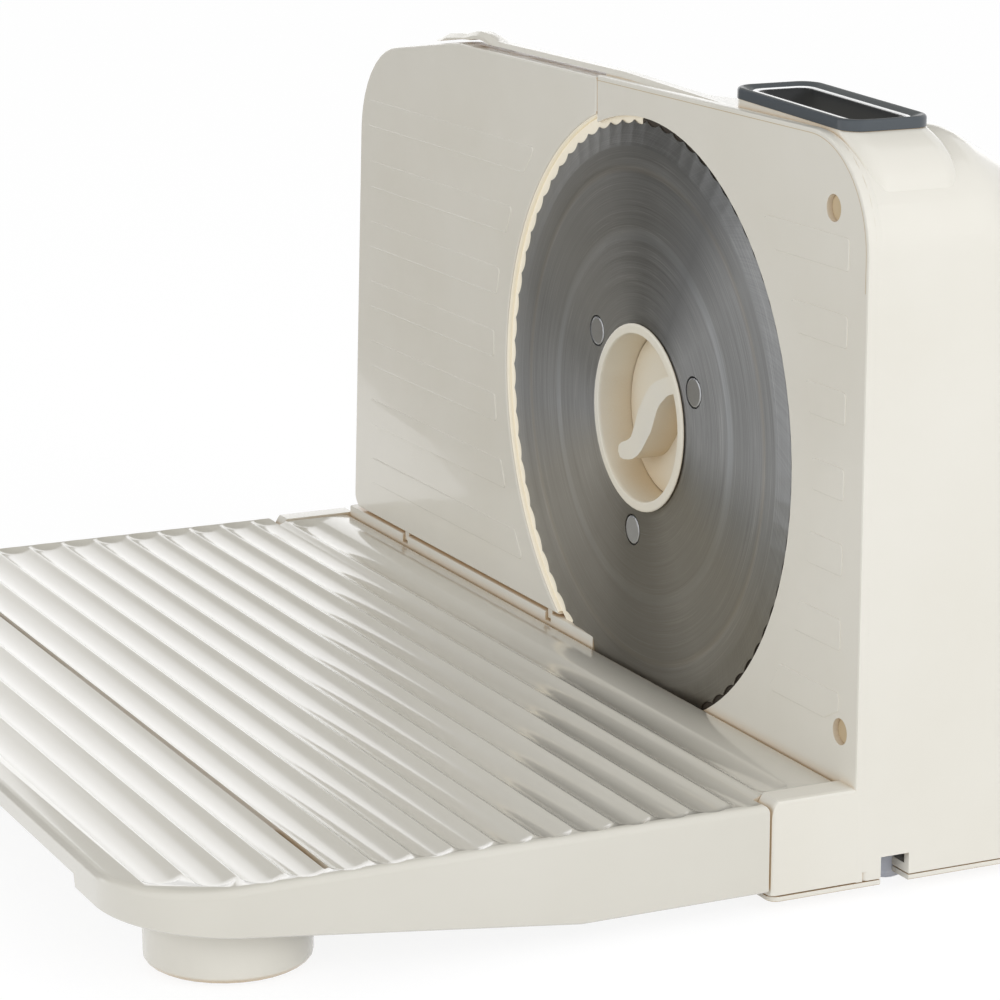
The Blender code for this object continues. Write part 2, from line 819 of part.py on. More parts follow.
def make_gear_plate(grey):
    """Make the plate that holds the bush, the idler's pin and the motor."""
    back = PLATE_FRONT + PLATE_THICKNESS
    plate = make("gear_plate", along_x(plate_outline(), PLATE_FRONT, back), grey)
    for place in leg_places():
        add(plate, along_x(circle(place, LEG_RADIUS, SMALL_STEPS), well_back() + GAP, PLATE_FRONT + OVERLAP))
    holes = [
        ((0.0, 0.0), SLEEVE_RADIUS + RUNNING_GAP + BUSH_WALL + GAP),
        (idler_place(), IDLER_PIN + GAP),
        (motor_place(), MOTOR_SHAFT + 2.0 * RUNNING_GAP),
    ]
    for place, radius in holes:
        cut(plate, along_x(circle(place, radius), PLATE_FRONT - GAP, back + GAP))
    return plate


def well_back():
    """Return how far back the blade well's floor reaches."""
    return WELL_DEPTH + WELL_FLOOR


def make_bush(bronze):
    """Make the plain bearing for the blade gear's sleeve."""
    inner = SLEEVE_RADIUS + RUNNING_GAP
    outer = inner + BUSH_WALL
    front = GEAR_FRONT + GEAR_WIDTH + RUNNING_GAP
    profile = [(front, inner), (front, outer), (sleeve_back(), outer), (sleeve_back(), inner)]
    return make("bearing_bush", lathe(profile), bronze)


def make_idler_pin(steel):
    """Make the fixed pin that the idler turns on."""
    solid = along_x(circle(idler_place(), IDLER_PIN, SMALL_STEPS), GEAR_FRONT - GAP,
                    PLATE_FRONT + PLATE_THICKNESS)
    return make("idler_pin", solid, steel)


def make_motor(grey):
    """Make the motor's can."""
    front = PLATE_FRONT + PLATE_THICKNESS + GAP
    back = BODY_DEPTH - SHELL_WALL - MOTOR_REAR - MOTOR_CAP_LENGTH
    profile = [
        (front, MOTOR_RADIUS - ROUND_EDGE),
        (front + ROUND_EDGE, MOTOR_RADIUS),
        (back - ROUND_EDGE, MOTOR_RADIUS),
        (back, MOTOR_RADIUS - ROUND_EDGE),
        (back, MOTOR_CAP),
        (back + MOTOR_CAP_LENGTH, MOTOR_CAP - ROUND_EDGE),
    ]
    return make("motor_body", lathe(profile, motor_place(), hollow=False), grey)


def pad_solid(far_side):
    """Return the raised pads of one plate as one set of closed shells."""
    shells = []
    for row in range(PAD_ROWS):
        top = PAD_TOP - PAD_PITCH * row
        low = top - PAD_HEIGHT
        outline = []
        for level in (low, low + PAD_HEIGHT / 2.0, top):
            reach = math.sqrt(PAD_RADIUS ** 2 - level ** 2)
            outline.append((reach if far_side else -reach, level))
        end = PAD_FAR if far_side else -PAD_NEAR
        first, middle, last = outline
        corners = [(*first, PAD_CORNER), (*middle, 0), (*last, PAD_CORNER), (end, top, PAD_CORNER)]
        if not far_side and row == PAD_ROWS - 1:
            corners.append((end, low + PAD_NOTCH / 2.0, PAD_CORNER))
            corners.append((end + PAD_NOTCH, low, PAD_CORNER))
        else:
            corners.append((end, low, PAD_CORNER))
        points = rounded_polygon(corners, PAD_STEPS)
        soft = inset(points, PAD_RISE)
        rings = [
            [(OVERLAP, y, z) for y, z in points],
            [(-PAD_RISE * EDGE_SHARE, y, z) for y, z in points],
            [(-PAD_RISE, y, z) for y, z in soft],
        ]
        shells.append(loft(rings))
    return join(*shells)


def hinge_axis():
    """Return the table hinge's axis, as (x, z)."""
    return (-HINGE_X, -TABLE_TOP - HINGE_DROP)


def ear_outline(edge):
    """Return the outline of a hinge ear, as (x, z), pulled in by a distance."""
    axis_x, axis_z = hinge_axis()
    radius = EAR_RADIUS - edge
    rise = -EAR_TOP - edge - axis_z
    lean = math.degrees(math.acos(rise / radius))
    foot = -PANEL_FOOT + OVERLAP / 2.0
    points = [(EAR_REACH, foot), (EAR_REACH, -EAR_TOP - edge)]
    curve = arc((axis_x, axis_z), radius, 90.0 + lean, 180.0, CORNER_STEPS)
    return points + curve + [(axis_x - radius, foot)]


def make_ear(near):
    """Return one hinge ear as a solid."""
    step = 1.0 if near else -1.0
    outer = (-NEAR_REACH if near else FAR_REACH) + step * OVERLAP / 2.0
    soft = EAR_EDGE * EDGE_SHARE
    levels = [(0.0, EAR_EDGE), (soft, soft), (EAR_EDGE, 0.0), (EAR_THICKNESS, 0.0)]
    return loft([[(x, outer + step * depth, z) for x, z in ear_outline(edge)] for depth, edge in levels])


def make_front_panel(cream):
    """Make the fixed plate with the blade well, the screw tubes and the hinge ears."""
    opening = BLADE_RADIUS + WELL_CLEARANCE
    ring = opening + WELL_WALL
    outline = rounded_polygon([
        (-NEAR_REACH, -PANEL_FOOT, 0),
        (FAR_REACH, -PANEL_FOOT, 0),
        (FAR_REACH, -PANEL_SILL, 0),
        (SPLIT_Y, -PANEL_SILL, 0),
        (SPLIT_Y, PANEL_TOP, 0),
        (-NEAR_REACH, PANEL_TOP, PANEL_CORNER),
    ], LARGE_CORNER_STEPS)
    rings = [
        [(0.0, y, z) for y, z in inset(outline, STOP_EDGE)],
        [(STOP_EDGE * EDGE_SHARE, y, z) for y, z in inset(outline, STOP_EDGE * EDGE_SHARE)],
        [(STOP_EDGE, y, z) for y, z in outline],
        [(PANEL_THICKNESS, y, z) for y, z in outline],
    ]
    panel = make("front_panel", loft(rings), cream)
    wall = sector(ring, SPLIT_Y - GAP)
    add(panel, along_x(wall, PANEL_THICKNESS - OVERLAP, well_back()))
    cut(panel, along_x(circle((0.0, 0.0), opening, 2 * WIDE_STEPS), -STOP_EDGE, WELL_DEPTH))
    floor_radius = STOP_ARC - FLOOR_CLEARANCE / 2.0
    add(panel, along_x(circle((0.0, 0.0), floor_radius, WIDE_STEPS), WELL_DEPTH + OVERLAP / 2.0,
                       well_back() - OVERLAP / 2.0))
    cut(panel, along_x(circle((0.0, 0.0), WELL_HOLE, WIDE_STEPS), WELL_DEPTH - GAP, well_back() + GAP))
    for near in (True, False):
        add(panel, make_ear(near))
    add(panel, pad_solid(False))
    for y, z in screw_places():
        tube = along_x(circle((y, z), SCREW_HOLE + SCREW_TUBE, SMALL_STEPS), PANEL_THICKNESS - OVERLAP,
                       SCREW_DEPTH)
        add(panel, tube)
        cut(panel, along_x(circle((y, z), SCREW_HOLE), -STOP_EDGE, SCREW_DEPTH + GAP))
    for near in (True, False):
        cut(panel, pin_hole(near))
    return panel


def sector(radius, limit):
    """Return a disc's outline cut off straight at y = limit, as (y, z)."""
    angle = math.degrees(math.acos(limit / radius))
    return arc((0.0, 0.0), radius, angle, 360.0 - angle, 2 * WIDE_STEPS)


def screw_places():
    """Return the panel screws' places."""
    return [(-SCREW_UP_Y, SCREW_UP_Z), (-SCREW_LOW_Y, -SCREW_LOW_Z)]


def make_screw(name, place, steel):
    """Make one panel screw, deep in its tube."""
    back = SCREW_DEPTH
    front = back - SCREW_HEAD_HEIGHT
    profile = [
        (front, SCREW_HEAD - SCREW_HEAD_HEIGHT * EDGE_SHARE),
        (front + SCREW_HEAD_HEIGHT * EDGE_SHARE, SCREW_HEAD),
        (back, SCREW_HEAD),
        (back, SCREW_SHANK),
        (back + SCREW_LENGTH, SCREW_SHANK),
    ]
    screw = make(name, lathe(profile, place, SMALL_STEPS, hollow=False), steel)
    arm = SCREW_HEAD * CROSS_SHARE
    half = SCREW_HEAD_HEIGHT * CROSS_SHARE / 2.0
    depth = front + SCREW_HEAD_HEIGHT / 2.0
    cross = []
    for quarter in range(4):
        turn = 90.0 * quarter
        for along, across in ((half, half), (arm, half), (arm, -half)):
            y, z = polar(math.hypot(along, across), turn + math.degrees(math.atan2(across, along)))
            cross.append((place[0] + y, place[1] + z))
    order = [cross[3 * quarter + step] for quarter in range(4) for step in (2, 1, 0)]
    cut(screw, along_x(order, front - GAP, depth))
    return screw


def pin_span(near):
    """Return the y range of a hinge pin."""
    if near:
        start = -NEAR_REACH + EAR_EDGE
        return start, start + PIN_LENGTH
    stop = FAR_REACH - EAR_EDGE
    return stop - PIN_LENGTH, stop


def pin_hole(near):
    """Return the bore for a hinge pin."""
    start, stop = pin_span(near)
    return along_y(circle(hinge_axis(), HINGE_PIN + GAP, SMALL_STEPS), start - GAP, stop + GAP)


def make_hinge_pin(name, near, steel):
    """Make one hinge pin."""
    start, stop = pin_span(near)
    return make(name, along_y(circle(hinge_axis(), HINGE_PIN, SMALL_STEPS), start, stop), steel)


def stop_outline():
    """Return the stop plate's outline, as (y, z)."""
    split = SPLIT_Y + 2.0 * GAP
    start = math.degrees(math.acos(split / STOP_ARC))
    stop = -math.degrees(math.asin(STOP_BOTTOM / STOP_ARC))
    points = [(split, STOP_TOP)] + arc((0.0, 0.0), STOP_ARC, start, stop, WIDE_STEPS)
    corners = rounded_polygon([
        (STOP_ARC * math.cos(math.radians(stop)), -STOP_BOTTOM, 0),
        (STOP_LOW_FAR, -STOP_BOTTOM, STOP_LOW_CORNER),
        (STOP_TOP_FAR, STOP_SHOULDER, STOP_CORNER),
        (STOP_BROW, STOP_TOP, STOP_BROW_CORNER),
        (split, STOP_TOP, 0),
    ], LARGE_CORNER_STEPS)
    return points + corners[1:-1]


def make_stop_plate(cream):
    """Make the sliding stop plate with its rim, pads and spacer nubs."""
    solid = tray(stop_outline(), lambda y, z, depth: (depth, y, z), lambda y, z: STOP_DEPTH,
                 STOP_RIM, STOP_SKIN, STOP_EDGE)
    plate = make("stop_plate", solid, cream)
    add(plate, pad_solid(True))
    for y in (NUB_NEAR, NUB_FAR):
        add(plate, block((STOP_EDGE, y - NUB_WIDTH / 2.0, -STOP_BOTTOM - NUB_HEIGHT),
                         (STOP_DEPTH - OVERLAP, y + NUB_WIDTH / 2.0, -STOP_BOTTOM + OVERLAP)))
    return plate


def stop_travel_solid():
    """Return the space that the stop plate sweeps, with its clearance."""
    grown = inset(stop_outline(), -STOP_CLEARANCE)
    reach = STOP_DEPTH + STOP_TRAVEL + STOP_CLEARANCE / 2.0
    return along_x(grown, STOP_EDGE, reach)


def rod_places():
    """Return the guide rods' axes."""
    return [(CARRIER_Y, ROD_OFFSET), (CARRIER_Y, -ROD_OFFSET)]


def carrier_outline():
    """Return the outline of the blocks that the rods and the spindle go through, as (y, z)."""
    return rounded_polygon([
        (CARRIER_Y - CARRIER_HALF, -CARRIER_HEIGHT, LEG_RADIUS),
        (CARRIER_Y + CARRIER_HALF, -CARRIER_HEIGHT, LEG_RADIUS),
        (CARRIER_Y + CARRIER_HALF, CARRIER_HEIGHT, LEG_RADIUS),
        (CARRIER_Y - CARRIER_HALF, CARRIER_HEIGHT, LEG_RADIUS),
    ])


def cut_guides(item, front, back):
    """Bore a piece for the rods and the spindle from front to back."""
    for place in rod_places():
        cut(item, along_x(circle(place, ROD_RADIUS + RUNNING_GAP), front - GAP, back + GAP))
    cut(item, along_x(circle((CARRIER_Y, 0.0), SPINDLE_RADIUS + RUNNING_GAP), front - GAP, back + GAP))


def make_carrier(grey):
    """Make the block behind the stop plate that carries the rods."""
    front = STOP_SKIN + GAP
    carrier = make("stop_carrier", along_x(carrier_outline(), front, CARRIER_BACK), grey)
    cut_guides(carrier, front, CARRIER_BACK)
    return carrier


def make_rod(name, place, steel):
    """Make one guide rod."""
    return make(name, along_x(circle(place, ROD_RADIUS, SMALL_STEPS), ROD_FRONT, ROD_BACK), steel)


def make_inner_wall(cream):
    """Make the wall behind the stop plate's travel."""
    outline = rounded_polygon([
        (WALL_NEAR, -WALL_LOW, LEG_RADIUS),
        (WALL_FAR, -WALL_LOW, LEG_RADIUS),
        (WALL_FAR, WALL_HIGH * SHELF_SHARE, LEG_RADIUS),
        (GRIP_NEAR - CARRIER_HALF, WALL_HIGH, LEG_RADIUS),
        (WALL_NEAR, WALL_HIGH, LEG_RADIUS),
    ])
    back = WALL_FRONT + WALL_THICKNESS
    wall = make("inner_wall", along_x(outline, WALL_FRONT, back), cream)
    cut_guides(wall, WALL_FRONT, back)
    return wall


def make_bracket(grey):
    """Make the block that guides the rods and the knob's spindle."""
    front = WALL_FRONT + WALL_THICKNESS + GAP
    back = front + BRACKET_DEPTH
    bracket = make("guide_bracket", along_x(carrier_outline(), front, back), grey)
    cut_guides(bracket, front, back)
    return bracket


def make_knob(cream):
    """Make the thickness knob with its spindle."""
    front = BODY_DEPTH + RUNNING_GAP
    back = BODY_DEPTH + KNOB_HEIGHT
    steps = KNOB_LOBES * KNOB_STEPS
    rings = []
    for x, radius in ((front, KNOB_RADIUS), (back - KNOB_EDGE, KNOB_RADIUS), (back, KNOB_RADIUS - KNOB_EDGE)):
        ring = []
        for index in range(steps):
            phase = FULL_TURN * index / KNOB_STEPS
            dip = KNOB_LOBE_DEPTH * (1.0 + math.cos(phase)) / 2.0
            y, z = polar(radius - dip, 360.0 * index / steps)
            ring.append((x, CARRIER_Y + y, z))
        rings.append(ring)
    knob = make("thickness_knob", loft(rings), cream, (0.0, CARRIER_Y, 0.0))
    add(knob, along_x(circle((CARRIER_Y, 0.0), SPINDLE_RADIUS), SPINDLE_FRONT, front + OVERLAP))
    return knob


def ledge_drop(x):
    """Return how far the roof beside the switch has dropped at x, past its rounded shoulder."""
    slope = math.tan(math.radians(LEDGE_PITCH))
    past = x - LEDGE_FLAT + LEDGE_ROUND
    if past <= 0.0:
        return 0.0
    if past < 2.0 * LEDGE_ROUND:
        return slope * past ** 2 / (4.0 * LEDGE_ROUND)
    return slope * (x - LEDGE_FLAT)


def roof_height(x, y, top, ledge):
    """Return the roof's height at a place, for a given top and switch ledge height."""
    blend = min(max((y + LEDGE_END) / LEDGE_BLEND, 0.0), 1.0)
    slope = math.tan(math.radians(ROOF_PITCH))
    far = top - max(0.0, x - ROOF_FLAT) * slope
    near = ledge - ledge_drop(x)
    swell = max(0.0, 1.0 - ((y - HUMP_CENTRE) / HUMP_HALF) ** 2)
    return near * (1.0 - blend) + (far + HUMP_RISE * swell * swell) * blend


def shell_ring(x, wall, drop):
    """Return one ring of the housing at x, pulled in by a wall and with its roof lowered."""
    near = -NEAR_REACH + wall + drop * SIDE_SHARE
    low = -PANEL_FOOT + wall
    top = SHELL_TOP - wall
    ledge = SHELL_LEDGE - wall
    corner = PANEL_CORNER - wall
    outline = [(near, low), (near, 0.0)]
    outline += [(y, z) for y, z in arc((near + corner, top - corner), corner, 180.0, 90.0, ARC_STEPS)]
    first = near + corner
    stops = [-LEDGE_END, -LEDGE_END + LEDGE_BLEND, 0.0, SPLIT_Y, 2.0 * SPLIT_Y, HUMP_CENTRE - HUMP_HALF]
    outline += [(y, top) for y in sorted(stops) if y > first]
    for step in range(1, ARC_STEPS):
        outline.append((HUMP_CENTRE - HUMP_HALF + 2.0 * HUMP_HALF * step / ARC_STEPS, top))
    far = SHELL_FAR_TOP - wall
    middle = SHELL_FAR_MID - wall
    span = middle - far
    height = top - SHELL_MID_Z
    for step in range(0, ARC_STEPS + 1):
        angle = math.radians(90.0 - 90.0 * step / ARC_STEPS)
        outline.append((far + span * math.cos(angle), SHELL_MID_Z + height * math.sin(angle)))
    outline.append((SHELL_FAR_LOW - wall, low))
    ring = []
    for y, z in outline:
        reach = min(y, far)
        roof = roof_height(x, reach, top, ledge) - drop
        ring.append((x, y, low + (z - low) * (roof - low) / (top - low)))
    return ring


def shell_solid():
    """Return the housing's shell, open at the front, as points and faces."""
    front = PANEL_THICKNESS + GAP
    back = BODY_DEPTH
    shoulder = [LEDGE_FLAT + LEDGE_ROUND * share for share in SHOULDER_SHARES]
    stations = [front + SHELL_EDGE, ROOF_FLAT, *shoulder, back - SHELL_BACK_EDGE]
    outer = [shell_ring(front, 0.0, SHELL_EDGE)]
    outer += [shell_ring(x, 0.0, 0.0) for x in stations]
    outer.append(shell_ring(back - SHELL_BACK_EDGE * EDGE_SHARE, 0.0, SHELL_BACK_EDGE * EDGE_SHARE))
    outer.append(shell_ring(back, 0.0, SHELL_BACK_EDGE))
    inner = [shell_ring(back - SHELL_WALL, SHELL_WALL, SHELL_BACK_EDGE)]
    inner += [shell_ring(x, SHELL_WALL, 0.0) for x in reversed(stations[1:])]
    inner.append(shell_ring(front, SHELL_WALL, 0.0))
    verts, faces = loft(outer + inner, capped=False)
    size = len(outer[0])
    level = len(outer) - 1
    last = len(outer) + len(inner) - 1
    kept = [face for face in faces if not (min(face) // size == level and max(face) // size == level + 1)]
    kept.append(tuple(level * size + index for index in range(size)))
    kept.append(tuple((level + 1) * size + index for index in range(size)))
    for index in range(size):
        following = (index + 1) % size
        kept.append((last * size + index, last * size + following, following, index))
    return verts, kept


def vent_slots():
    """Return the cutters for the slots in the housing's back."""
    front = BODY_DEPTH - SHELL_WALL - GAP
    back = BODY_DEPTH + GAP
    slots = []
    for index in range(VENT_COUNT):
        y = -VENT_Y + VENT_PITCH * index
        slots.append(block((front, y - VENT_WIDTH / 2.0, -VENT_Z - VENT_LENGTH / 2.0),
                           (back, y + VENT_WIDTH / 2.0, -VENT_Z + VENT_LENGTH / 2.0)))
    return join(*slots)


def make_housing(cream):
    """Make the motor housing with its openings."""
    shell = make("main_housing", shell_solid(), cream)
    cut(shell, switch_opening(BEZEL_FRAME - GAP))
    cut(shell, block((NOTCH_X - NOTCH_HALF, -NEAR_REACH - GAP, -PANEL_FOOT - GAP),
                     (NOTCH_X + NOTCH_HALF, -NEAR_REACH + NOTCH_DEPTH, -NOTCH_TOP)))
    for x, y in foot_places():
        socket = [(-PANEL_FOOT - GAP, FOOT_RADIUS + GAP), (-FOOT_TOP + GAP, FOOT_RADIUS + GAP)]
        cut(shell, upright(socket, (x, y)))
    cut(shell, stop_travel_solid())
    cut(shell, block((GRIP_FRONT, GRIP_NEAR, GRIP_LOW), (GRIP_BACK, FAR_REACH, GRIP_HIGH)))
    spindle = circle((CARRIER_Y, 0.0), SPINDLE_RADIUS + RUNNING_GAP)
    cut(shell, along_x(spindle, BODY_DEPTH - SHELL_WALL - GAP, BODY_DEPTH + GAP))
    cut(shell, vent_slots())
    return shell


def foot_places():
    """Return the housing feet's places, as (x, y)."""
    back = BODY_DEPTH - FOOT_BACK_INSET
    near = -NEAR_REACH + FOOT_NEAR_INSET
    far = SHELL_FAR_LOW - FOOT_FAR_INSET
    return [(FOOT_X, near), (back, near), (FOOT_X, far), (back, far)]


def make_base_plate(cream):
    """Make the thin bottom cover with its cord notch and foot holes."""
    top = -PANEL_FOOT - GAP
    low = top - BASE_THICKNESS
    left = -HINGE_X - EAR_RADIUS
    outline = rounded_polygon([
        (left, -NEAR_REACH, BASE_CORNER),
        (BODY_DEPTH, -NEAR_REACH, BASE_CORNER),
        (BODY_DEPTH, SHELL_FAR_LOW, BASE_CORNER),
        (PANEL_THICKNESS, SHELL_FAR_LOW, 0),
        (PANEL_THICKNESS, FAR_REACH, 0),
        (left, FAR_REACH, BASE_CORNER),
    ])
    edge = BASE_THICKNESS * EDGE_SHARE
    rings = [
        [(x, y, top) for x, y in outline],
        [(x, y, low + edge) for x, y in outline],
        [(x, y, low) for x, y in inset(outline, edge)],
    ]
    plate = make("base_plate", loft(rings), cream)
    cut(plate, block((NOTCH_X - NOTCH_HALF, -NEAR_REACH - GAP, low - GAP),
                     (NOTCH_X + NOTCH_HALF, -NEAR_REACH + NOTCH_DEPTH, top + GAP)))
    for x, y in foot_places():
        cut(plate, upright([(low - GAP, FOOT_RADIUS + GAP), (top + GAP, FOOT_RADIUS + GAP)], (x, y)))
    return plate


def make_foot(name, place, rubber):
    """Make one soft foot with a domed tip."""
    floor = -BLADE_HEIGHT
    profile = [(-FOOT_TOP, FOOT_RADIUS), (floor + FOOT_DOME, FOOT_RADIUS)]
    for step in range(1, CORNER_STEPS):
        angle = math.radians(90.0 * step / CORNER_STEPS)
        profile.append((floor + FOOT_DOME * (1.0 - math.sin(angle)),
                        FOOT_RADIUS * (1.0 - DOME_SHARE * (1.0 - math.cos(angle)))))
    profile.append((floor, FOOT_RADIUS * (1.0 - DOME_SHARE)))
    return make(name, upright(profile, place, SMALL_STEPS), rubber)


def switch_frame():
    """Return the matrix of the switch's own tilted frame, whose z = 0 is the bezel's underside."""
    tilt = Matrix.Rotation(math.radians(BEZEL_TILT), 4, "X")
    middle = Vector((BEZEL_X, -BEZEL_Y, SHELL_LEDGE + BEZEL_LIFT))
    return Matrix.Translation(middle) @ tilt


def bezel_loop(pull, height):
    """Return the bezel's rounded outline at a height, pulled in by a distance."""
    half_x = BEZEL_WIDTH / 2.0 - pull
    half_y = BEZEL_LENGTH / 2.0 - pull
    corner = max(BEZEL_CORNER - pull, BUTTON_RIM)
    points = rounded_polygon([
        (-half_x, -half_y, corner),
        (half_x, -half_y, corner),
        (half_x, half_y, corner),
        (-half_x, half_y, corner),
    ])
    frame = switch_frame()
    return [tuple(frame @ Vector((x, y, height))) for x, y in points]


def switch_opening(pull):
    """Return the solid that opens the roof under the switch."""
    return loft([bezel_loop(pull, -BUTTON_SKIRT), bezel_loop(pull, BEZEL_HEIGHT)])


def make_switch_base(grey):
    """Make the wedge between the roof and the bezel."""
    floor = SHELL_LEDGE + GAP
    inner_pull = BEZEL_FRAME + RING_WIDTH
    outer_top = bezel_loop(GAP, -GAP)
    inner_top = bezel_loop(inner_pull, -GAP)
    outer_low = [(x, y, floor) for x, y, _ in outer_top]
    inner_low = [(x, y, floor) for x, y, _ in inner_top]
    return make("switch_base", loft([outer_low, outer_top, inner_top, inner_low], looped=True), grey)


def make_bezel(dark):
    """Make the dark frame round the switch."""
    edge = BEZEL_HEIGHT * EDGE_SHARE / 2.0
    inner = BEZEL_FRAME
    rings = [
        bezel_loop(0.0, 0.0),
        bezel_loop(0.0, BEZEL_HEIGHT - edge),
        bezel_loop(edge * EDGE_SHARE, BEZEL_HEIGHT - edge * EDGE_SHARE),
        bezel_loop(edge, BEZEL_HEIGHT),
        bezel_loop(inner, BEZEL_HEIGHT),
        bezel_loop(inner, 0.0),
    ]
    return make("switch_bezel", loft(rings, looped=True), dark)


def make_ring(bright):
    """Make the bright line round the button."""
    outer = BEZEL_FRAME + GAP
    inner = outer + RING_WIDTH
    top = BEZEL_HEIGHT + RING_RISE
    rings = [
        bezel_loop(outer, top - RING_DEPTH),
        bezel_loop(outer, top - RING_RISE),
        bezel_loop(outer + RING_RISE, top),
        bezel_loop(inner - RING_RISE, top),
        bezel_loop(inner, top - RING_RISE),
        bezel_loop(inner, top - RING_DEPTH),
    ]
    return make("switch_ring", loft(rings, looped=True), bright)


def make_button(dark):
    """Make the button with its finger dish, skirt and stem."""
    side = BEZEL_FRAME + GAP + RING_WIDTH + RUNNING_GAP
    top = BEZEL_HEIGHT - BUTTON_DROP
    rings = [bezel_loop(side, -BUTTON_SKIRT + BEZEL_HEIGHT), bezel_loop(side, top - BUTTON_RIM * EDGE_SHARE),
             bezel_loop(side + BUTTON_RIM * EDGE_SHARE, top), bezel_loop(side + BUTTON_RIM, top)]
    reach = BEZEL_WIDTH / 2.0 - side - BUTTON_RIM
    for share in DISH_SHARES:
        sink = BUTTON_DISH * math.sin(share * math.pi / 2.0)
        rings.append(bezel_loop(side + BUTTON_RIM + reach * share * DISH_REACH_SHARE, top - sink))
    button = make("switch_button", loft(rings), dark, smooth=BUTTON_SMOOTH)
    floor = -BUTTON_SKIRT + BEZEL_HEIGHT
    frame = switch_frame()
    stem = []
    for height in (floor + OVERLAP, floor - STEM_LENGTH):
        stem.append([tuple(frame @ Vector((x, y, height))) for x, y in
                     circle((0.0, 0.0), BUTTON_STEM, SMALL_STEPS)])
    add(button, loft(stem), BUTTON_SMOOTH)
    return button


def make_microswitch(dark):
    """Make the switch under the button, with its plunger."""
    stem_tip = SHELL_LEDGE + BEZEL_LIFT - BUTTON_SKIRT + BEZEL_HEIGHT - STEM_LENGTH
    top = stem_tip - BUTTON_TRAVEL - PLUNGER_HEIGHT
    front = PANEL_THICKNESS + GAP
    body = block((front, -BEZEL_Y - SWITCH_WIDTH / 2.0, top - SWITCH_BODY),
                 (front + SWITCH_LENGTH, -BEZEL_Y + SWITCH_WIDTH / 2.0, top))
    switch = make("micro_switch", body, dark)
    add(switch, upright([(top - OVERLAP, PLUNGER_RADIUS), (top + PLUNGER_HEIGHT - GAP, PLUNGER_RADIUS)],
                        (BEZEL_X, -BEZEL_Y), SMALL_STEPS))
    return switch


def skirt_depth(x, y):
    """Return the table's rim depth at a place."""
    bend = max(0.0, -x - SKIRT_BEND) / (TABLE_REACH - SKIRT_BEND)
    depth = SKIRT_DEEP - (SKIRT_DEEP - SKIRT_SHALLOW) * bend
    step = min(max((-y - STEP_Y) / STEP_WIDTH, 0.0), 1.0) if -x > TABLE_REACH - TABLE_CORNER / 2.0 else 1.0
    return depth - SKIRT_STEP * (1.0 - step)


def table_outline():
    """Return the main part of the table's outline, as (x, y)."""
    right = -HINGE_X - EAR_RADIUS - TABLE_GAP / 2.0
    corners = rounded_polygon([
        (-TABLE_REACH, -NEAR_REACH, TABLE_CORNER),
        (right, -NEAR_REACH, 0),
        (right, FAR_REACH, 0),
        (-TABLE_REACH, FAR_REACH, TABLE_FAR_CORNER),
    ], LARGE_CORNER_STEPS)
    points = []
    for index, point in enumerate(corners):
        following = corners[(index + 1) % len(corners)]
        points.append(point)
        if abs(following[0] - point[0]) > SKIRT_BEND:
            turn = -SKIRT_BEND
            share = (turn - point[0]) / (following[0] - point[0])
            points.append((turn, point[1] + (following[1] - point[1]) * share))
        elif point[1] - following[1] > TABLE_REACH:
            points.append((-TABLE_REACH, -STEP_Y))
            points.append((-TABLE_REACH, -STEP_Y - STEP_WIDTH))
    return points


def flute_solid():
    """Return the cutters for the flutes as closed shells side by side."""
    half = (FLUTE_PITCH - FLUTE_CREST) / 2.0
    radius = (half ** 2 + FLUTE_DEPTH ** 2) / (2.0 * FLUTE_DEPTH)
    rise = radius - FLUTE_DEPTH
    surface = -TABLE_TOP
    shells = []
    for index in range(FLUTE_COUNT):
        centre = -FLUTE_STRIP - FLUTE_PITCH * (index + HALF_SHARE)
        inside = -centre < HINGE_X + EAR_RADIUS
        trim = EAR_THICKNESS if inside else 0.0
        beyond = max(0.0, -centre - TABLE_REACH + FLUTE_CORNER)
        round_off = FLUTE_CORNER - math.sqrt(FLUTE_CORNER ** 2 - beyond ** 2)
        near = -NEAR_REACH + trim + round_off + FLUTE_END + half
        far = FAR_REACH - trim - FLUTE_END - half
        stations = []
        for share in FLUTE_SHARES:
            stations.append((near - half * share, half * share))
        stations.append((near, 0.0))
        stations.append((far, 0.0))
        for share in reversed(FLUTE_SHARES):
            stations.append((far + half * share, half * share))
        rings = []
        for y, away in stations:
            section = math.sqrt(radius ** 2 - away ** 2)
            width = math.sqrt(section ** 2 - rise ** 2)
            ring = [(centre + width, y, surface + FLUTE_TOP), (centre - width, y, surface + FLUTE_TOP)]
            for step in range(FLUTE_STEPS + 1):
                across = -width + 2.0 * width * step / FLUTE_STEPS
                ring.append((centre + across, y, surface + rise - math.sqrt(section ** 2 - across ** 2)))
            rings.append(ring)
        shells.append(loft(rings))
    return join(*shells)


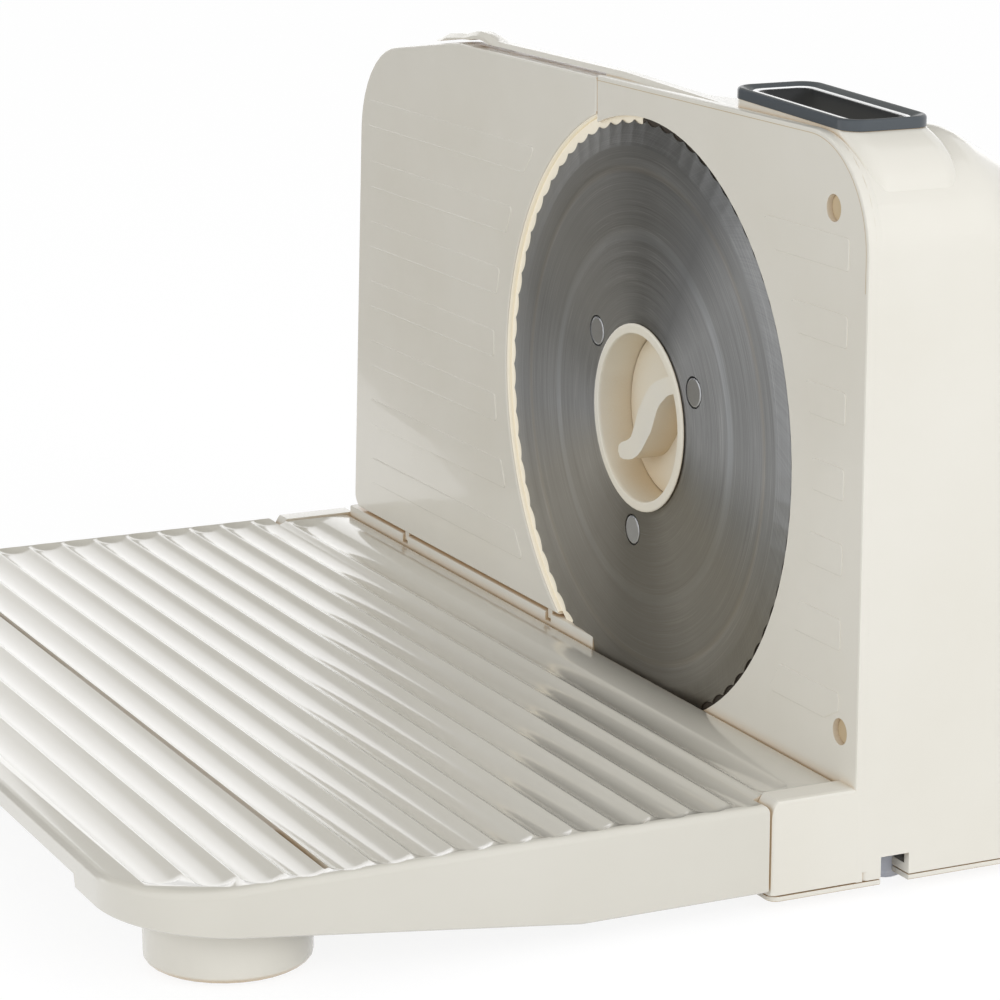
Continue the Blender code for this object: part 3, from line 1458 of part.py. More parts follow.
def make_table(cream):
    """Make the folding table with flutes, guide slot, rim and hinge knuckles."""
    solid = tray(table_outline(), lambda x, y, depth: (x, y, -TABLE_TOP - depth), skirt_depth,
                 TABLE_WALL, TABLE_SKIN, TABLE_EDGE)
    axis_x, axis_z = hinge_axis()
    table = make("folding_table", solid, cream, (axis_x, 0.0, axis_z))
    left = -HINGE_X - EAR_RADIUS - TABLE_WALL
    near = -NEAR_REACH + EAR_THICKNESS + GAP
    far = FAR_REACH - EAR_THICKNESS - GAP
    bottom = -TABLE_TOP - TABLE_SKIN
    sweep = arc((axis_x, axis_z), EAR_RADIUS + TABLE_GAP / 2.0, 90.0, 180.0, CORNER_STEPS)
    for start, stop in ((-NEAR_REACH - GAP, near), (far, FAR_REACH + GAP)):
        cut(table, along_y(sweep + [(axis_x, axis_z)], start, stop))
    add(table, block((left, near, bottom), (-TABLE_GAP, far, -TABLE_TOP)))
    for start in (near, far - KNUCKLE_LENGTH):
        add(table, block((axis_x - KNUCKLE_HALF, start, -TABLE_TOP - KNUCKLE_DEPTH),
                         (axis_x + KNUCKLE_HALF, start + KNUCKLE_LENGTH, bottom + OVERLAP)))
    cut(table, flute_solid())
    slot = -FLUTE_STRIP - FLUTE_PITCH * SLOT_AFTER
    cut(table, block((slot - SLOT_WIDTH / 2.0, -NEAR_REACH + SLOT_END, bottom - GAP),
                     (slot + SLOT_WIDTH / 2.0, FAR_REACH - SLOT_END, -TABLE_TOP + FLUTE_TOP)))
    for side in (True, False):
        cut(table, pin_hole(side))
    return table


def table_leg_places():
    """Return the table legs' places, as (x, y)."""
    x = -TABLE_REACH + TABLE_LEG_SETBACK
    return [(x, -NEAR_REACH + TABLE_LEG_NEAR_INSET), (x, FAR_REACH - TABLE_LEG_FAR_INSET)]


def make_table_leg(name, place, cream):
    """Make one round leg under the table, recessed for its soft pad."""
    axis_x, axis_z = hinge_axis()
    top = -TABLE_TOP - TABLE_SKIN - GAP
    low = -BLADE_HEIGHT + PAD_SOFT_RISE
    profile = [
        (top, TABLE_LEG_RADIUS),
        (low + TABLE_LEG_EDGE, TABLE_LEG_RADIUS - TABLE_LEG_TAPER),
        (low, TABLE_LEG_RADIUS - TABLE_LEG_TAPER - TABLE_LEG_EDGE),
    ]
    leg = make(name, upright(profile, place), cream, (axis_x, 0.0, axis_z))
    recess = [(low - GAP, PAD_SOFT_RADIUS + GAP), (low + PAD_SOFT_DEPTH, PAD_SOFT_RADIUS + GAP)]
    cut(leg, upright(recess, place))
    return leg


def make_table_pad(name, place, rubber):
    """Make one soft pad under a table leg."""
    axis_x, axis_z = hinge_axis()
    low = -BLADE_HEIGHT
    top = low + PAD_SOFT_RISE + PAD_SOFT_DEPTH - GAP
    profile = [(top, PAD_SOFT_RADIUS), (low + GAP, PAD_SOFT_RADIUS), (low, PAD_SOFT_RADIUS - GAP)]
    return make(name, upright(profile, place), rubber, (axis_x, 0.0, axis_z))


def main():
    """Build every piece."""
    clear_scene()
    cream = material("cream_plastic", (0.80, 0.77, 0.66), 0.25)
    steel = material("blade_steel", (0.45, 0.46, 0.47), 0.30, 1.0)
    zinc = material("zinc_steel", (0.70, 0.71, 0.72), 0.35, 1.0)
    nylon = material("nylon", (0.85, 0.85, 0.80), 0.50)
    grey = material("grey_plastic", (0.35, 0.35, 0.33), 0.50)
    dark = material("dark_plastic", (0.05, 0.055, 0.06), 0.30)
    bright = material("bright_trim", (0.90, 0.90, 0.90), 0.12, 1.0)
    bronze = material("bronze", (0.55, 0.38, 0.18), 0.45, 1.0)
    rubber = material("soft_rubber", (0.72, 0.75, 0.82), 0.60)
    make_blade(steel)
    make_hub(cream)
    make_backing(zinc)
    for index, place in enumerate(rivet_points()):
        make_rivet("blade_rivet_%d" % (index + 1), place, zinc)
    make_blade_gear(nylon)
    make_latch(cream)
    make_idler(nylon)
    make_motor_pinion(zinc)
    make_front_panel(cream)
    make_housing(cream)
    make_inner_wall(cream)
    make_base_plate(cream)
    for index, place in enumerate(foot_places()):
        make_foot("soft_foot_%d" % (index + 1), place, rubber)
    make_switch_base(grey)
    make_bezel(dark)
    make_ring(bright)
    make_button(dark)
    make_microswitch(dark)
    make_gear_plate(grey)
    make_bush(bronze)
    make_idler_pin(zinc)
    make_motor(grey)
    make_screw("panel_screw_1", screw_places()[0], zinc)
    make_screw("panel_screw_2", screw_places()[1], zinc)
    make_hinge_pin("hinge_pin_near", True, zinc)
    make_hinge_pin("hinge_pin_far", False, zinc)
    make_stop_plate(cream)
    make_carrier(grey)
    make_rod("guide_rod_upper", rod_places()[0], zinc)
    make_rod("guide_rod_lower", rod_places()[1], zinc)
    make_bracket(grey)
    make_knob(cream)
    make_table(cream)
    for name, place in zip(("near", "far"), table_leg_places()):
        make_table_leg("table_leg_%s" % name, place, cream)
        make_table_pad("table_pad_%s" % name, place, rubber)


if __name__ == "__main__":
    main()
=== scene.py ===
"""The look of a folding food slicer: glossy ivory shells, a brushed blade and a fluted table.

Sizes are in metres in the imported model's frame. The blade's centre is the point that most
pieces are measured from: x grows from the table towards the motor, y runs along the plate.
"""

import json
import logging
import math
from dataclasses import dataclass, field
from enum import Enum
from typing import Any, Dict, List, Optional, Sequence, Tuple, Union

import bmesh
import bpy
from mathutils import Matrix, Vector

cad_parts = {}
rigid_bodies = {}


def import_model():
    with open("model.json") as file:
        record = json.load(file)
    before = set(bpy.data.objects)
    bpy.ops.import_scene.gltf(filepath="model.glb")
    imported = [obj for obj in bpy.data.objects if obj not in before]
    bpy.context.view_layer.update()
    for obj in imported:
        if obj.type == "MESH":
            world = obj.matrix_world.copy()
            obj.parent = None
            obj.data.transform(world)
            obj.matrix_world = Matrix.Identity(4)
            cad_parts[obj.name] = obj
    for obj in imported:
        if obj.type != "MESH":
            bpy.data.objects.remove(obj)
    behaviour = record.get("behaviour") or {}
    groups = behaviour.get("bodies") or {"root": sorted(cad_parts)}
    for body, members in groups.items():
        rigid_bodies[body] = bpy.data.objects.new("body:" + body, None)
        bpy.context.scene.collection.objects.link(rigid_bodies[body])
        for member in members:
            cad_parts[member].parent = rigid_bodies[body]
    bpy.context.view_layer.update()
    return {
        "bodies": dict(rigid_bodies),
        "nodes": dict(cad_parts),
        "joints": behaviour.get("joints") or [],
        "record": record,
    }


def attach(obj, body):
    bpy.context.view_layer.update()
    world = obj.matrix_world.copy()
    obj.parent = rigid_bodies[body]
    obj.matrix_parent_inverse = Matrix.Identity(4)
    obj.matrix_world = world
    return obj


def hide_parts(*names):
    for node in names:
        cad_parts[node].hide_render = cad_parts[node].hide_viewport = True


LOG = logging.getLogger("food_slicer")

Pair = Tuple[float, float]
Triple = Tuple[float, float, float]
Colour = Triple
Ring = List[Vector]
Section = List[Triple]
Mesh = Tuple[List[Vector], List[Tuple[int, ...]]]
Number = Union[int, float, "Signal"]

BLADE_CENTRE = Vector((0.045, -0.0485, 0.1055))
# Points nearer than this are one point.
WELD = 0.000002
# How far a cutter runs past the face that it starts from.
PAST = 0.001
# Where a softened corner's middle point lies, as a share of its softening.
SOFT_SHARE = 0.3
# The angle in degrees from which most pieces keep an edge sharp.
CREASE = 35.0


class Operation(Enum):
    """How a solid changes a piece."""

    CUT = "DIFFERENCE"
    ADD = "UNION"


# Shader maths


class Signal:
    """A number that varies over a surface, with Python's arithmetic."""

    def __init__(self, board: "Board", socket: bpy.types.NodeSocket) -> None:
        """Keep the socket and the board that it belongs to."""
        self.board = board
        self.socket = socket

    def math(self, operation: str, *others: Number, clamp: bool = False) -> "Signal":
        """Return a maths operation on this value.

        Args:
            operation: The Math node's operation.
            others: The second and third values.
            clamp: Whether the result is kept from 0 to 1.

        Returns:
            The result.
        """
        return self.board.maths(operation, (self, *others), clamp)

    def __add__(self, other: Number) -> "Signal":
        """Return the sum."""
        return self.math("ADD", other)

    def __radd__(self, other: Number) -> "Signal":
        """Return the sum with the value on the right."""
        return self.math("ADD", other)

    def __sub__(self, other: Number) -> "Signal":
        """Return the difference."""
        return self.math("SUBTRACT", other)

    def __rsub__(self, other: Number) -> "Signal":
        """Return the difference with the value on the right."""
        return self.board.maths("SUBTRACT", (other, self))

    def __mul__(self, other: Number) -> "Signal":
        """Return the product."""
        return self.math("MULTIPLY", other)

    def __rmul__(self, other: Number) -> "Signal":
        """Return the product with the value on the right."""
        return self.math("MULTIPLY", other)

    def __truediv__(self, other: Number) -> "Signal":
        """Return the quotient."""
        return self.math("DIVIDE", other)

    def __rtruediv__(self, other: Number) -> "Signal":
        """Return the quotient with the value below."""
        return self.board.maths("DIVIDE", (other, self))

    def clamped(self) -> "Signal":
        """Return the value kept from 0 to 1."""
        return self.math("ADD", 0.0, clamp=True)

    def about(self, middle: float, spread: float) -> "Signal":
        """Return a middle value that varies by a spread as this one goes from 0 to 1."""
        return middle + (self - 0.5) * spread

    def ramp(self, start: float, width: float) -> "Signal":
        """Return 0 up to a start, 1 from a width beyond it, and a straight rise between."""
        return ((self - start) / width).clamped()

    def band(self, low: float, high: float, soft: float) -> "Signal":
        """Return 1 between two limits and 0 outside them, with soft edges.

        Args:
            low: Where the band starts.
            high: Where it ends.
            soft: The width of each edge.

        Returns:
            The band's mask.
        """
        fall = ((high - self) / soft).clamped()
        return self.ramp(low, soft) * fall


class Board:
    """A node tree while it is being drawn up."""

    def __init__(self, tree: bpy.types.NodeTree) -> None:
        """Keep the tree."""
        self.tree = tree

    def node(self, kind: str, settings: Optional[Dict[str, Any]] = None,
             values: Optional[Dict[Any, Any]] = None) -> bpy.types.Node:
        """Add a node.

        Args:
            kind: The node's type.
            settings: Its settings, set before anything is linked.
            values: What its sockets hold, by name or number: values, sockets or signals.

        Returns:
            The node.
        """
        item = self.tree.nodes.new(kind)
        for name, value in (settings or {}).items():
            setattr(item, name, value)
        for name, value in (values or {}).items():
            self.feed(item.inputs[name], value)
        return item

    def feed(self, socket: bpy.types.NodeSocket, value: Any) -> None:
        """Link a socket or set its value.

        Args:
            socket: The socket.
            value: A signal, a socket or a plain value. A colour may leave out its alpha.
        """
        if isinstance(value, Signal):
            value = value.socket
        if isinstance(value, bpy.types.NodeSocket):
            self.tree.links.new(value, socket)
        elif isinstance(value, tuple) and len(value) == 3 and socket.type == "RGBA":
            socket.default_value = (*value, 1.0)
        else:
            socket.default_value = value

    def maths(self, operation: str, parts: Sequence[Number], clamp: bool = False) -> Signal:
        """Add a Math node.

        Args:
            operation: Its operation.
            parts: The values or signals that it works on.
            clamp: Whether the result is kept from 0 to 1.

        Returns:
            The result.
        """
        values = {index: part for index, part in enumerate(parts)}
        item = self.node("ShaderNodeMath", {"operation": operation, "use_clamp": clamp}, values)
        return Signal(self, item.outputs[0])

    def mix(self, first: Any, second: Any, share: Number) -> bpy.types.NodeSocket:
        """Return a blend of two colours by a share of the second."""
        item = self.node("ShaderNodeMix", {"data_type": "RGBA"}, {0: share, 6: first, 7: second})
        return item.outputs[2]

    def rays(self, *kinds: str) -> Signal:
        """Tell some kinds of ray from the rest.

        Args:
            kinds: Outputs of the Light Path node.

        Returns:
            1 for rays of any of the kinds and 0 for the rest.
        """
        path = self.node("ShaderNodeLightPath")
        found = Signal(self, path.outputs[kinds[0]])
        for kind in kinds[1:]:
            found = found.math("MAXIMUM", Signal(self, path.outputs[kind]))
        return found

    def light(self, kind: str, colour: Colour, strength: float) -> bpy.types.NodeSocket:
        """Return a shader that gives off light."""
        return self.node(kind, {}, {"Color": colour, "Strength": strength}).outputs[0]

    def blend(self, first: Any, second: Any, share: Number) -> bpy.types.NodeSocket:
        """Return a blend of two shaders by a share of the second."""
        return self.node("ShaderNodeMixShader", {}, {0: share, 1: first, 2: second}).outputs[0]


class Sheet(Board):
    """One material's node tree, with its Principled shader and object coordinates."""

    def __init__(self, name: str) -> None:
        """Start the material.

        Args:
            name: Its name.
        """
        self.material = bpy.data.materials.new(name)
        self.material.use_nodes = True
        super().__init__(self.material.node_tree)
        self.shader = self.tree.nodes.get("Principled BSDF")
        self.place = self.node("ShaderNodeTexCoord").outputs["Object"]

    def surface(self, shader: bpy.types.NodeSocket) -> None:
        """Send a shader to the material's output."""
        self.feed(self.tree.nodes.get("Material Output").inputs["Surface"], shader)

    def stretch(self, scale: Triple) -> bpy.types.NodeSocket:
        """Return the object coordinates multiplied along each axis."""
        values = {0: self.place, 1: scale}
        return self.node("ShaderNodeVectorMath", {"operation": "MULTIPLY"}, values).outputs[0]

    def noise(self, scale: float, detail: float = 2.0, place: Any = None) -> Signal:
        """Add soft noise.

        Args:
            scale: How fine it is.
            detail: How many finer layers lie in it.
            place: Where it is read, or None for the object coordinates.

        Returns:
            The noise from 0 to 1.
        """
        item = self.node("ShaderNodeTexNoise", {},
                         {"Vector": place or self.place, "Scale": scale, "Detail": detail})
        return Signal(self, item.outputs["Fac"])

    def axes(self) -> Tuple[Signal, Signal, Signal]:
        """Return the object coordinates as three signals."""
        item = self.node("ShaderNodeSeparateXYZ", {}, {0: self.place})
        return tuple(Signal(self, item.outputs[index]) for index in range(3))

    def crevice(self, reach: float, samples: int = 8) -> Signal:
        """Return how shut in a place is: 0 in the open, 1 deep in a gap."""
        item = self.node("ShaderNodeAmbientOcclusion", {"samples": samples}, {"Distance": reach})
        return 1.0 - Signal(self, item.outputs["AO"])

    def bump(self, height: Signal, strength: float, depth: float) -> None:
        """Send a height to the shader's normal."""
        values = {"Strength": strength, "Distance": depth, "Height": height}
        self.feed(self.shader.inputs["Normal"], self.node("ShaderNodeBump", {}, values).outputs["Normal"])

    def dress(self, **values: Any) -> None:
        """Set or link sockets of the shader, by name with underscores for spaces."""
        for name, value in values.items():
            self.feed(self.shader.inputs[name.replace("_", " ")], value)


# Finishes


@dataclass(frozen=True)
class Ivory:
    """Glossy moulded plastic with a faint flow in its colour, painted brownish shade in its gaps and, in some
    finishes, a painted glow.
    """

    name: str = "ivory_gloss"
    slot: str = "cream_plastic"
    colour: Colour = (0.800, 0.770, 0.695)
    shade: Colour = (0.780, 0.748, 0.668)
    # Painted shade: a brownish colour mixed in where ambient occlusion finds a gap, by the share, reach and
    # ramp in the fields that follow.
    painted_gap_shade: Colour = (0.680, 0.460, 0.220)
    roughness: float = 0.20
    glow: float = 0.75
    reach: float = 0.006
    coat: float = 0.35
    coat_roughness: float = 0.04
    gloss: float = 1.48
    shut_from: float = 0.30
    shut_width: float = 0.45
    # Painted glow: an emission colour that lights the surface without a lamp.
    painted_glow: Colour = (0.0, 0.0, 0.0)
    flow_scale: float = 22.0
    flow_detail: float = 3.0
    flow_from: float = 0.35
    flow_width: float = 0.3
    touch_scale: float = 75.0
    touch_detail: float = 4.0
    touch_spread: float = 0.09
    skin_scale: float = 260.0
    grit_scale: float = 2600.0
    grit_detail: float = 1.0
    grit_share: float = 0.18
    bump_strength: float = 0.05
    bump_depth: float = 0.0004

    def build(self) -> bpy.types.Material:
        """Draw up the material.

        Returns:
            The material.
        """
        sheet = Sheet(self.name)
        cloud = sheet.noise(self.flow_scale, self.flow_detail).ramp(self.flow_from, self.flow_width)
        tone = sheet.mix(self.colour, self.shade, cloud)
        # Painted shade: gaps and recesses take the brownish gap colour by their ambient occlusion.
        shut = sheet.crevice(self.reach).ramp(self.shut_from, self.shut_width)
        touch = sheet.noise(self.touch_scale, self.touch_detail)
        sheet.dress(Base_Color=sheet.mix(tone, self.painted_gap_shade, shut * self.glow),
                    Roughness=touch.about(self.roughness, self.touch_spread))
        skin = sheet.noise(self.skin_scale)
        grit = sheet.noise(self.grit_scale, self.grit_detail)
        sheet.bump(skin + grit * self.grit_share, self.bump_strength, self.bump_depth)
        # The emission is painted glow.
        sheet.dress(IOR=self.gloss, Coat_Weight=self.coat, Coat_Roughness=self.coat_roughness,
                    Emission_Color=self.painted_glow, Emission_Strength=1.0)
        return sheet.material


@dataclass(frozen=True)
class BladeSteel:
    """Hard rolled steel, turned and brushed round its centre, with a ground edge and painted reflection in
    broad sectors.

    A pair of line sizes says how many lines there are to a metre of radius and how quickly a
    line changes round the disc. Angles are in radians, from the far side down.
    """

    name: str = "blade_brushed"
    slot: str = "blade_steel"
    colour: Colour = (0.455, 0.462, 0.468)
    dark: Colour = (0.225, 0.228, 0.232)
    scratch: Colour = (0.680, 0.680, 0.675)
    bevel_start: float = 0.0779
    bevel_end: float = 0.0900
    bevel_soft: float = 0.00025
    bevel_share: float = 0.6
    fine_lines: Pair = (4200.0, 1.3)
    coarse_lines: Pair = (640.0, 0.35)
    coarse_share: float = 0.28
    bevel_lines: Pair = (5200.0, 1.0)
    line_detail: float = 3.0
    bevel_slant: Triple = (0.35, 0.030, 0.4)
    tone_from: float = 0.16
    tone_width: float = 0.62
    scratch_lines: Pair = (3600.0, 2.6)
    scratch_turn: float = 1.7
    scratch_from: float = 0.58
    scratch_width: float = 0.10
    scratch_share: float = 0.30
    band_soft: float = 0.0009
    band_break: Pair = (0.55, 0.9)
    bands: Tuple[Tuple[float, float, float, Colour], ...] = (
        (0.0698, 0.0724, 0.55, (0.420, 0.395, 0.360)),
        (0.0684, 0.0690, 0.45, (0.200, 0.195, 0.185)),
        (0.0508, 0.0545, 0.50, (0.480, 0.500, 0.520)),
        (0.0546, 0.0552, 0.45, (0.200, 0.200, 0.200)))
    # Painted reflection: sectors of the disc made browner, darker or lighter, as start and end angle, share
    # and colour.
    painted_fan_soft: float = 0.35
    painted_reflection_fans: Tuple[Tuple[float, float, float, Colour], ...] = (
        (0.10, 2.90, 0.42, (0.390, 0.345, 0.255)),
        (0.60, 2.10, 0.34, (0.160, 0.145, 0.120)),
        (-2.45, -1.75, 0.60, (0.170, 0.175, 0.180)),
        (-1.60, -0.35, 0.30, (0.640, 0.650, 0.660)))
    roughness: float = 0.38
    roughness_spread: float = 0.20
    bevel_roughness: float = 0.04
    anisotropy: float = 0.86
    grain_turn: float = 0.25
    bump_strength: float = 0.16
    bump_depth: float = 0.00012

    def build(self) -> bpy.types.Material:
        """Draw up the material.

        Returns:
            The material.
        """
        sheet = Sheet(self.name)
        across, along, _ = sheet.axes()
        radius = (across * across + along * along).math("SQRT")
        turn = across.math("ARCTAN2", along)
        rings = self.ring_noise(sheet, radius, turn, self.fine_lines)
        coarse = self.ring_noise(sheet, radius, turn, self.coarse_lines)
        edge = radius.band(self.bevel_start, self.bevel_end, self.bevel_soft)
        inward, round_about, sweep = self.bevel_slant
        marks = self.ring_noise(sheet, radius * inward + turn * round_about, turn * sweep, self.bevel_lines)
        grain = rings * (1.0 - edge * self.bevel_share) + marks * (edge * self.bevel_share)
        lines = grain * (1.0 - self.coarse_share) + coarse * self.coarse_share
        tone = sheet.mix(self.dark, self.colour, lines.ramp(self.tone_from, self.tone_width))
        for low, high, strength, colour in self.bands:
            broken = strength * (self.band_break[0] + coarse * self.band_break[1])
            tone = sheet.mix(tone, colour, (radius.band(low, high, self.band_soft) * broken).clamped())
        streaks = self.ring_noise(sheet, radius, turn + self.scratch_turn, self.scratch_lines)
        scratched = streaks.ramp(self.scratch_from, self.scratch_width) * self.scratch_share
        tone = sheet.mix(tone, self.scratch, scratched)
        # Painted reflection: tint each sector of the disc.
        for low, high, strength, colour in self.painted_reflection_fans:
            tone = sheet.mix(tone, colour, turn.band(low, high, self.painted_fan_soft) * strength)
        rough = lines.about(self.roughness, self.roughness_spread) + edge * self.bevel_roughness
        sheet.dress(Base_Color=tone, Roughness=rough)
        sheet.bump(lines, self.bump_strength, self.bump_depth)
        sheet.dress(Metallic=1.0, Anisotropic=self.anisotropy, Anisotropic_Rotation=self.grain_turn)
        return sheet.material

    def ring_noise(self, sheet: Sheet, radius: Signal, turn: Signal, lines: Pair) -> Signal:
        """Return noise that is fine across the radius and long round the disc.

        Args:
            sheet: The material being drawn up.
            radius: Distance from the middle.
            turn: Angle round the middle, in radians.
            lines: How many lines there are to a metre, and how quickly they change round the disc.

        Returns:
            The noise from 0 to 1.
        """
        fine, sweep = lines
        values = {0: radius * fine, 1: turn.math("SINE") * sweep, 2: turn.math("COSINE") * sweep}
        place = sheet.node("ShaderNodeCombineXYZ", {}, values).outputs[0]
        return sheet.noise(1.0, self.line_detail, place)


@dataclass(frozen=True)
class PlainMetal:
    """Plated or turned metal with fine marks along one axis."""

    name: str = "zinc_satin"
    slot: str = "zinc_steel"
    colour: Colour = (0.60, 0.61, 0.62)
    shade: Colour = (0.47, 0.48, 0.50)
    roughness: float = 0.33
    stretch: Triple = (300.0, 3200.0, 3200.0)
    mark_detail: float = 3.0
    spot_scale: float = 700.0
    mark_share: float = 0.6
    spread: float = 0.15
    bump_strength: float = 0.08
    bump_depth: float = 0.0001

    def build(self) -> bpy.types.Material:
        """Draw up the material.

        Returns:
            The material.
        """
        sheet = Sheet(self.name)
        marks = sheet.noise(1.0, self.mark_detail, sheet.stretch(self.stretch))
        spots = sheet.noise(self.spot_scale)
        share = marks * self.mark_share + spots * (1.0 - self.mark_share)
        sheet.dress(Base_Color=sheet.mix(self.colour, self.shade, share),
                    Roughness=marks.about(self.roughness, self.spread))
        sheet.bump(marks, self.bump_strength, self.bump_depth)
        sheet.dress(Metallic=1.0)
        return sheet.material


@dataclass(frozen=True)
class Moulded:
    """Plain moulded plastic or rubber with a spark-eroded grain."""

    name: str
    slot: str
    colour: Colour
    shade: Colour
    roughness: float
    grain: float = 1800.0
    depth: float = 0.00008
    strength: float = 0.25
    coat: float = 0.0
    coat_roughness: float = 0.05
    sheen: float = 0.0
    # Painted glow: an emission colour that lights the surface without a lamp.
    painted_glow: Colour = (0.0, 0.0, 0.0)
    cloud_scale: float = 60.0
    cloud_detail: float = 3.0
    cloud_share: float = 0.7
    spread: float = 0.12

    def build(self) -> bpy.types.Material:
        """Draw up the material.

        Returns:
            The material.
        """
        sheet = Sheet(self.name)
        cloud = sheet.noise(self.cloud_scale, self.cloud_detail)
        speckle = sheet.noise(self.grain)
        share = (cloud * self.cloud_share + speckle * (1.0 - self.cloud_share)).clamped()
        sheet.dress(Base_Color=sheet.mix(self.colour, self.shade, share),
                    Roughness=cloud.about(self.roughness, self.spread))
        sheet.bump(speckle, self.strength, self.depth)
        sheet.dress(Coat_Weight=self.coat, Coat_Roughness=self.coat_roughness, Sheen_Weight=self.sheen,
                    Emission_Color=self.painted_glow, Emission_Strength=1.0)
        return sheet.material


class Finish(Enum):
    """The finishes that the slicer's pieces take."""

    IVORY = Ivory()
    # Painted shade: the hub's bowl takes the brownish gap shade over a wide reach.
    BOWL = Ivory("ivory_bowl", colour=(0.820, 0.765, 0.640), painted_gap_shade=(0.620, 0.430, 0.190), roughness=0.32,
                 glow=0.70, reach=0.022, coat=0.1, shut_from=0.35, shut_width=0.5)
    # Painted light: a lighter ivory with a faint glow, for the lit lip of the blade's opening and the bright
    # rim behind the teeth.
    PAINTED_LIGHT_LIP = Ivory("ivory_lip_painted_light", colour=(0.900, 0.850, 0.740), shade=(0.880, 0.825, 0.710), glow=0.0,
                painted_glow=(0.14, 0.12, 0.08))
    MARK = Ivory("ivory_parting_line", colour=(0.620, 0.500, 0.330), shade=(0.560, 0.440, 0.280), glow=0.0)
    # Painted shade: the housing's ivory darkened by about an eighth for the table.
    TABLE = Ivory("ivory_table_painted_shade", colour=(0.700, 0.672, 0.598), shade=(0.680, 0.651, 0.575), roughness=0.20,
                  glow=0.50, coat=0.9, coat_roughness=0.09, gloss=1.55)
    STEEL = BladeSteel()
    ZINC = PlainMetal()
    BRONZE = PlainMetal("bronze_plain", "bronze", (0.42, 0.26, 0.11), (0.30, 0.18, 0.07), 0.42)
    TRIM = PlainMetal("bright_line", "bright_trim", (0.93, 0.93, 0.93), (0.88, 0.88, 0.88), 0.12)
    # Painted shadow: a dark brown for the ring behind the blade's teeth, where there is only shade.
    GAP = Moulded("gap_shadow", "dark_plastic", (0.040, 0.030, 0.020), (0.028, 0.020, 0.013), 0.65)
    NYLON = Moulded("nylon_white", "nylon", (0.78, 0.78, 0.72), (0.70, 0.70, 0.64), 0.48)
    GREY = Moulded("grey_moulded", "grey_plastic", (0.36, 0.36, 0.34), (0.30, 0.30, 0.285), 0.50)
    SLATE = Moulded("slate_gloss", "dark_plastic", (0.066, 0.078, 0.089), (0.054, 0.064, 0.074), 0.32,
                    strength=0.08, coat=0.20)
    BLACK = Moulded("black_gloss", "dark_plastic", (0.007, 0.008, 0.009), (0.005, 0.006, 0.007), 0.46,
                    strength=0.05)
    # Painted glow: the white line gives off light of its own.
    LINE = Moulded("white_line", "bright_trim", (0.95, 0.95, 0.95), (0.92, 0.92, 0.92), 0.25,
                   strength=0.02, coat=0.6, painted_glow=(0.30, 0.30, 0.30))
    RUBBER = Moulded("soft_pale_rubber", "soft_rubber", (0.80, 0.84, 0.95), (0.74, 0.78, 0.90), 0.55,
                     sheen=0.5)

    def material(self) -> bpy.types.Material:
        """Return this finish's material, made on first use."""
        found = bpy.data.materials.get(self.value.name)
        return found or self.value.build()


# Shapes


def arc(centre: Pair, radius: float, start: float, stop: float, steps: int) -> List[Pair]:
    """Return points on an arc, both ends with them.

    Args:
        centre: The arc's centre.
        radius: Its radius.
        start: Where it starts, in degrees.
        stop: Where it ends, in degrees.
        steps: How many steps it takes.

    Returns:
        The points.
    """
    points = []
    for index in range(steps + 1):
        angle = math.radians(start + (stop - start) * index / steps)
        points.append((centre[0] + radius * math.cos(angle), centre[1] + radius * math.sin(angle)))
    return points


def circle(centre: Pair, radius: float, steps: int) -> List[Pair]:
    """Return points round a circle."""
    return arc(centre, radius, 0.0, 360.0 - 360.0 / steps, steps - 1)


def rounded(corners: Sequence[Triple], steps: int = 8) -> List[Pair]:
    """Round each corner of a polygon.

    Args:
        corners: Each corner as (u, v, radius).
        steps: How many steps round each corner.

    Returns:
        The outline's points.
    """
    points: List[Pair] = []
    count = len(corners)
    for index, (u, v, radius) in enumerate(corners):
        here = Vector((u, v))
        before = Vector(corners[index - 1][:2]) - here
        after = Vector(corners[(index + 1) % count][:2]) - here
        if radius == 0:
            points.append((u, v))
            continue
        half = before.angle(after) / 2.0
        reach = radius / math.tan(half)
        start = here + before.normalized() * reach
        stop = here + after.normalized() * reach
        middle = here + (before.normalized() + after.normalized()).normalized() * (radius / math.sin(half))
        first = start - middle
        last = stop - middle
        for step in range(steps + 1):
            share = step / steps
            spoke = (first * (1.0 - share) + last * share).normalized() * radius
            points.append(tuple(middle + spoke))
    return points


def inset(points: Sequence[Pair], distance: float) -> List[Pair]:
    """Move an outline inwards.

    Args:
        points: The outline, in either direction.
        distance: How far it moves.

    Returns:
        The new outline.
    """
    area = 0.0
    for index, (u, v) in enumerate(points):
        following = points[(index + 1) % len(points)]
        area += u * following[1] - following[0] * v
    sign = 1.0 if area > 0 else -1.0
    inside = []
    count = len(points)
    for index, point in enumerate(points):
        here = Vector(point)
        before = (here - Vector(points[index - 1])).normalized()
        after = (Vector(points[(index + 1) % count]) - here).normalized()
        left = Vector((-before.y, before.x)) * sign
        right = Vector((-after.y, after.x)) * sign
        inside.append(tuple(here + (left + right) * (distance / (1.0 + left.dot(right)))))
    return inside


def loft(rings: Sequence[Sequence[Sequence[float]]], looped: bool = False) -> Mesh:
    """Join rings of equal length with quads.

    Args:
        rings: The rings, each a list of points.
        looped: Whether the last ring joins the first; otherwise both ends are capped.

    Returns:
        Points and faces.
    """
    points = [Vector(point) for ring in rings for point in ring]
    size = len(rings[0])
    faces: List[Tuple[int, ...]] = []
    for level in range(len(rings) if looped else len(rings) - 1):
        upper = (level + 1) % len(rings)
        for index in range(size):
            following = (index + 1) % size
            faces.append((level * size + index, level * size + following,
                          upper * size + following, upper * size + index))
    if not looped:
        faces.append(tuple(reversed(range(size))))
        faces.append(tuple((len(rings) - 1) * size + index for index in range(size)))
    return points, faces


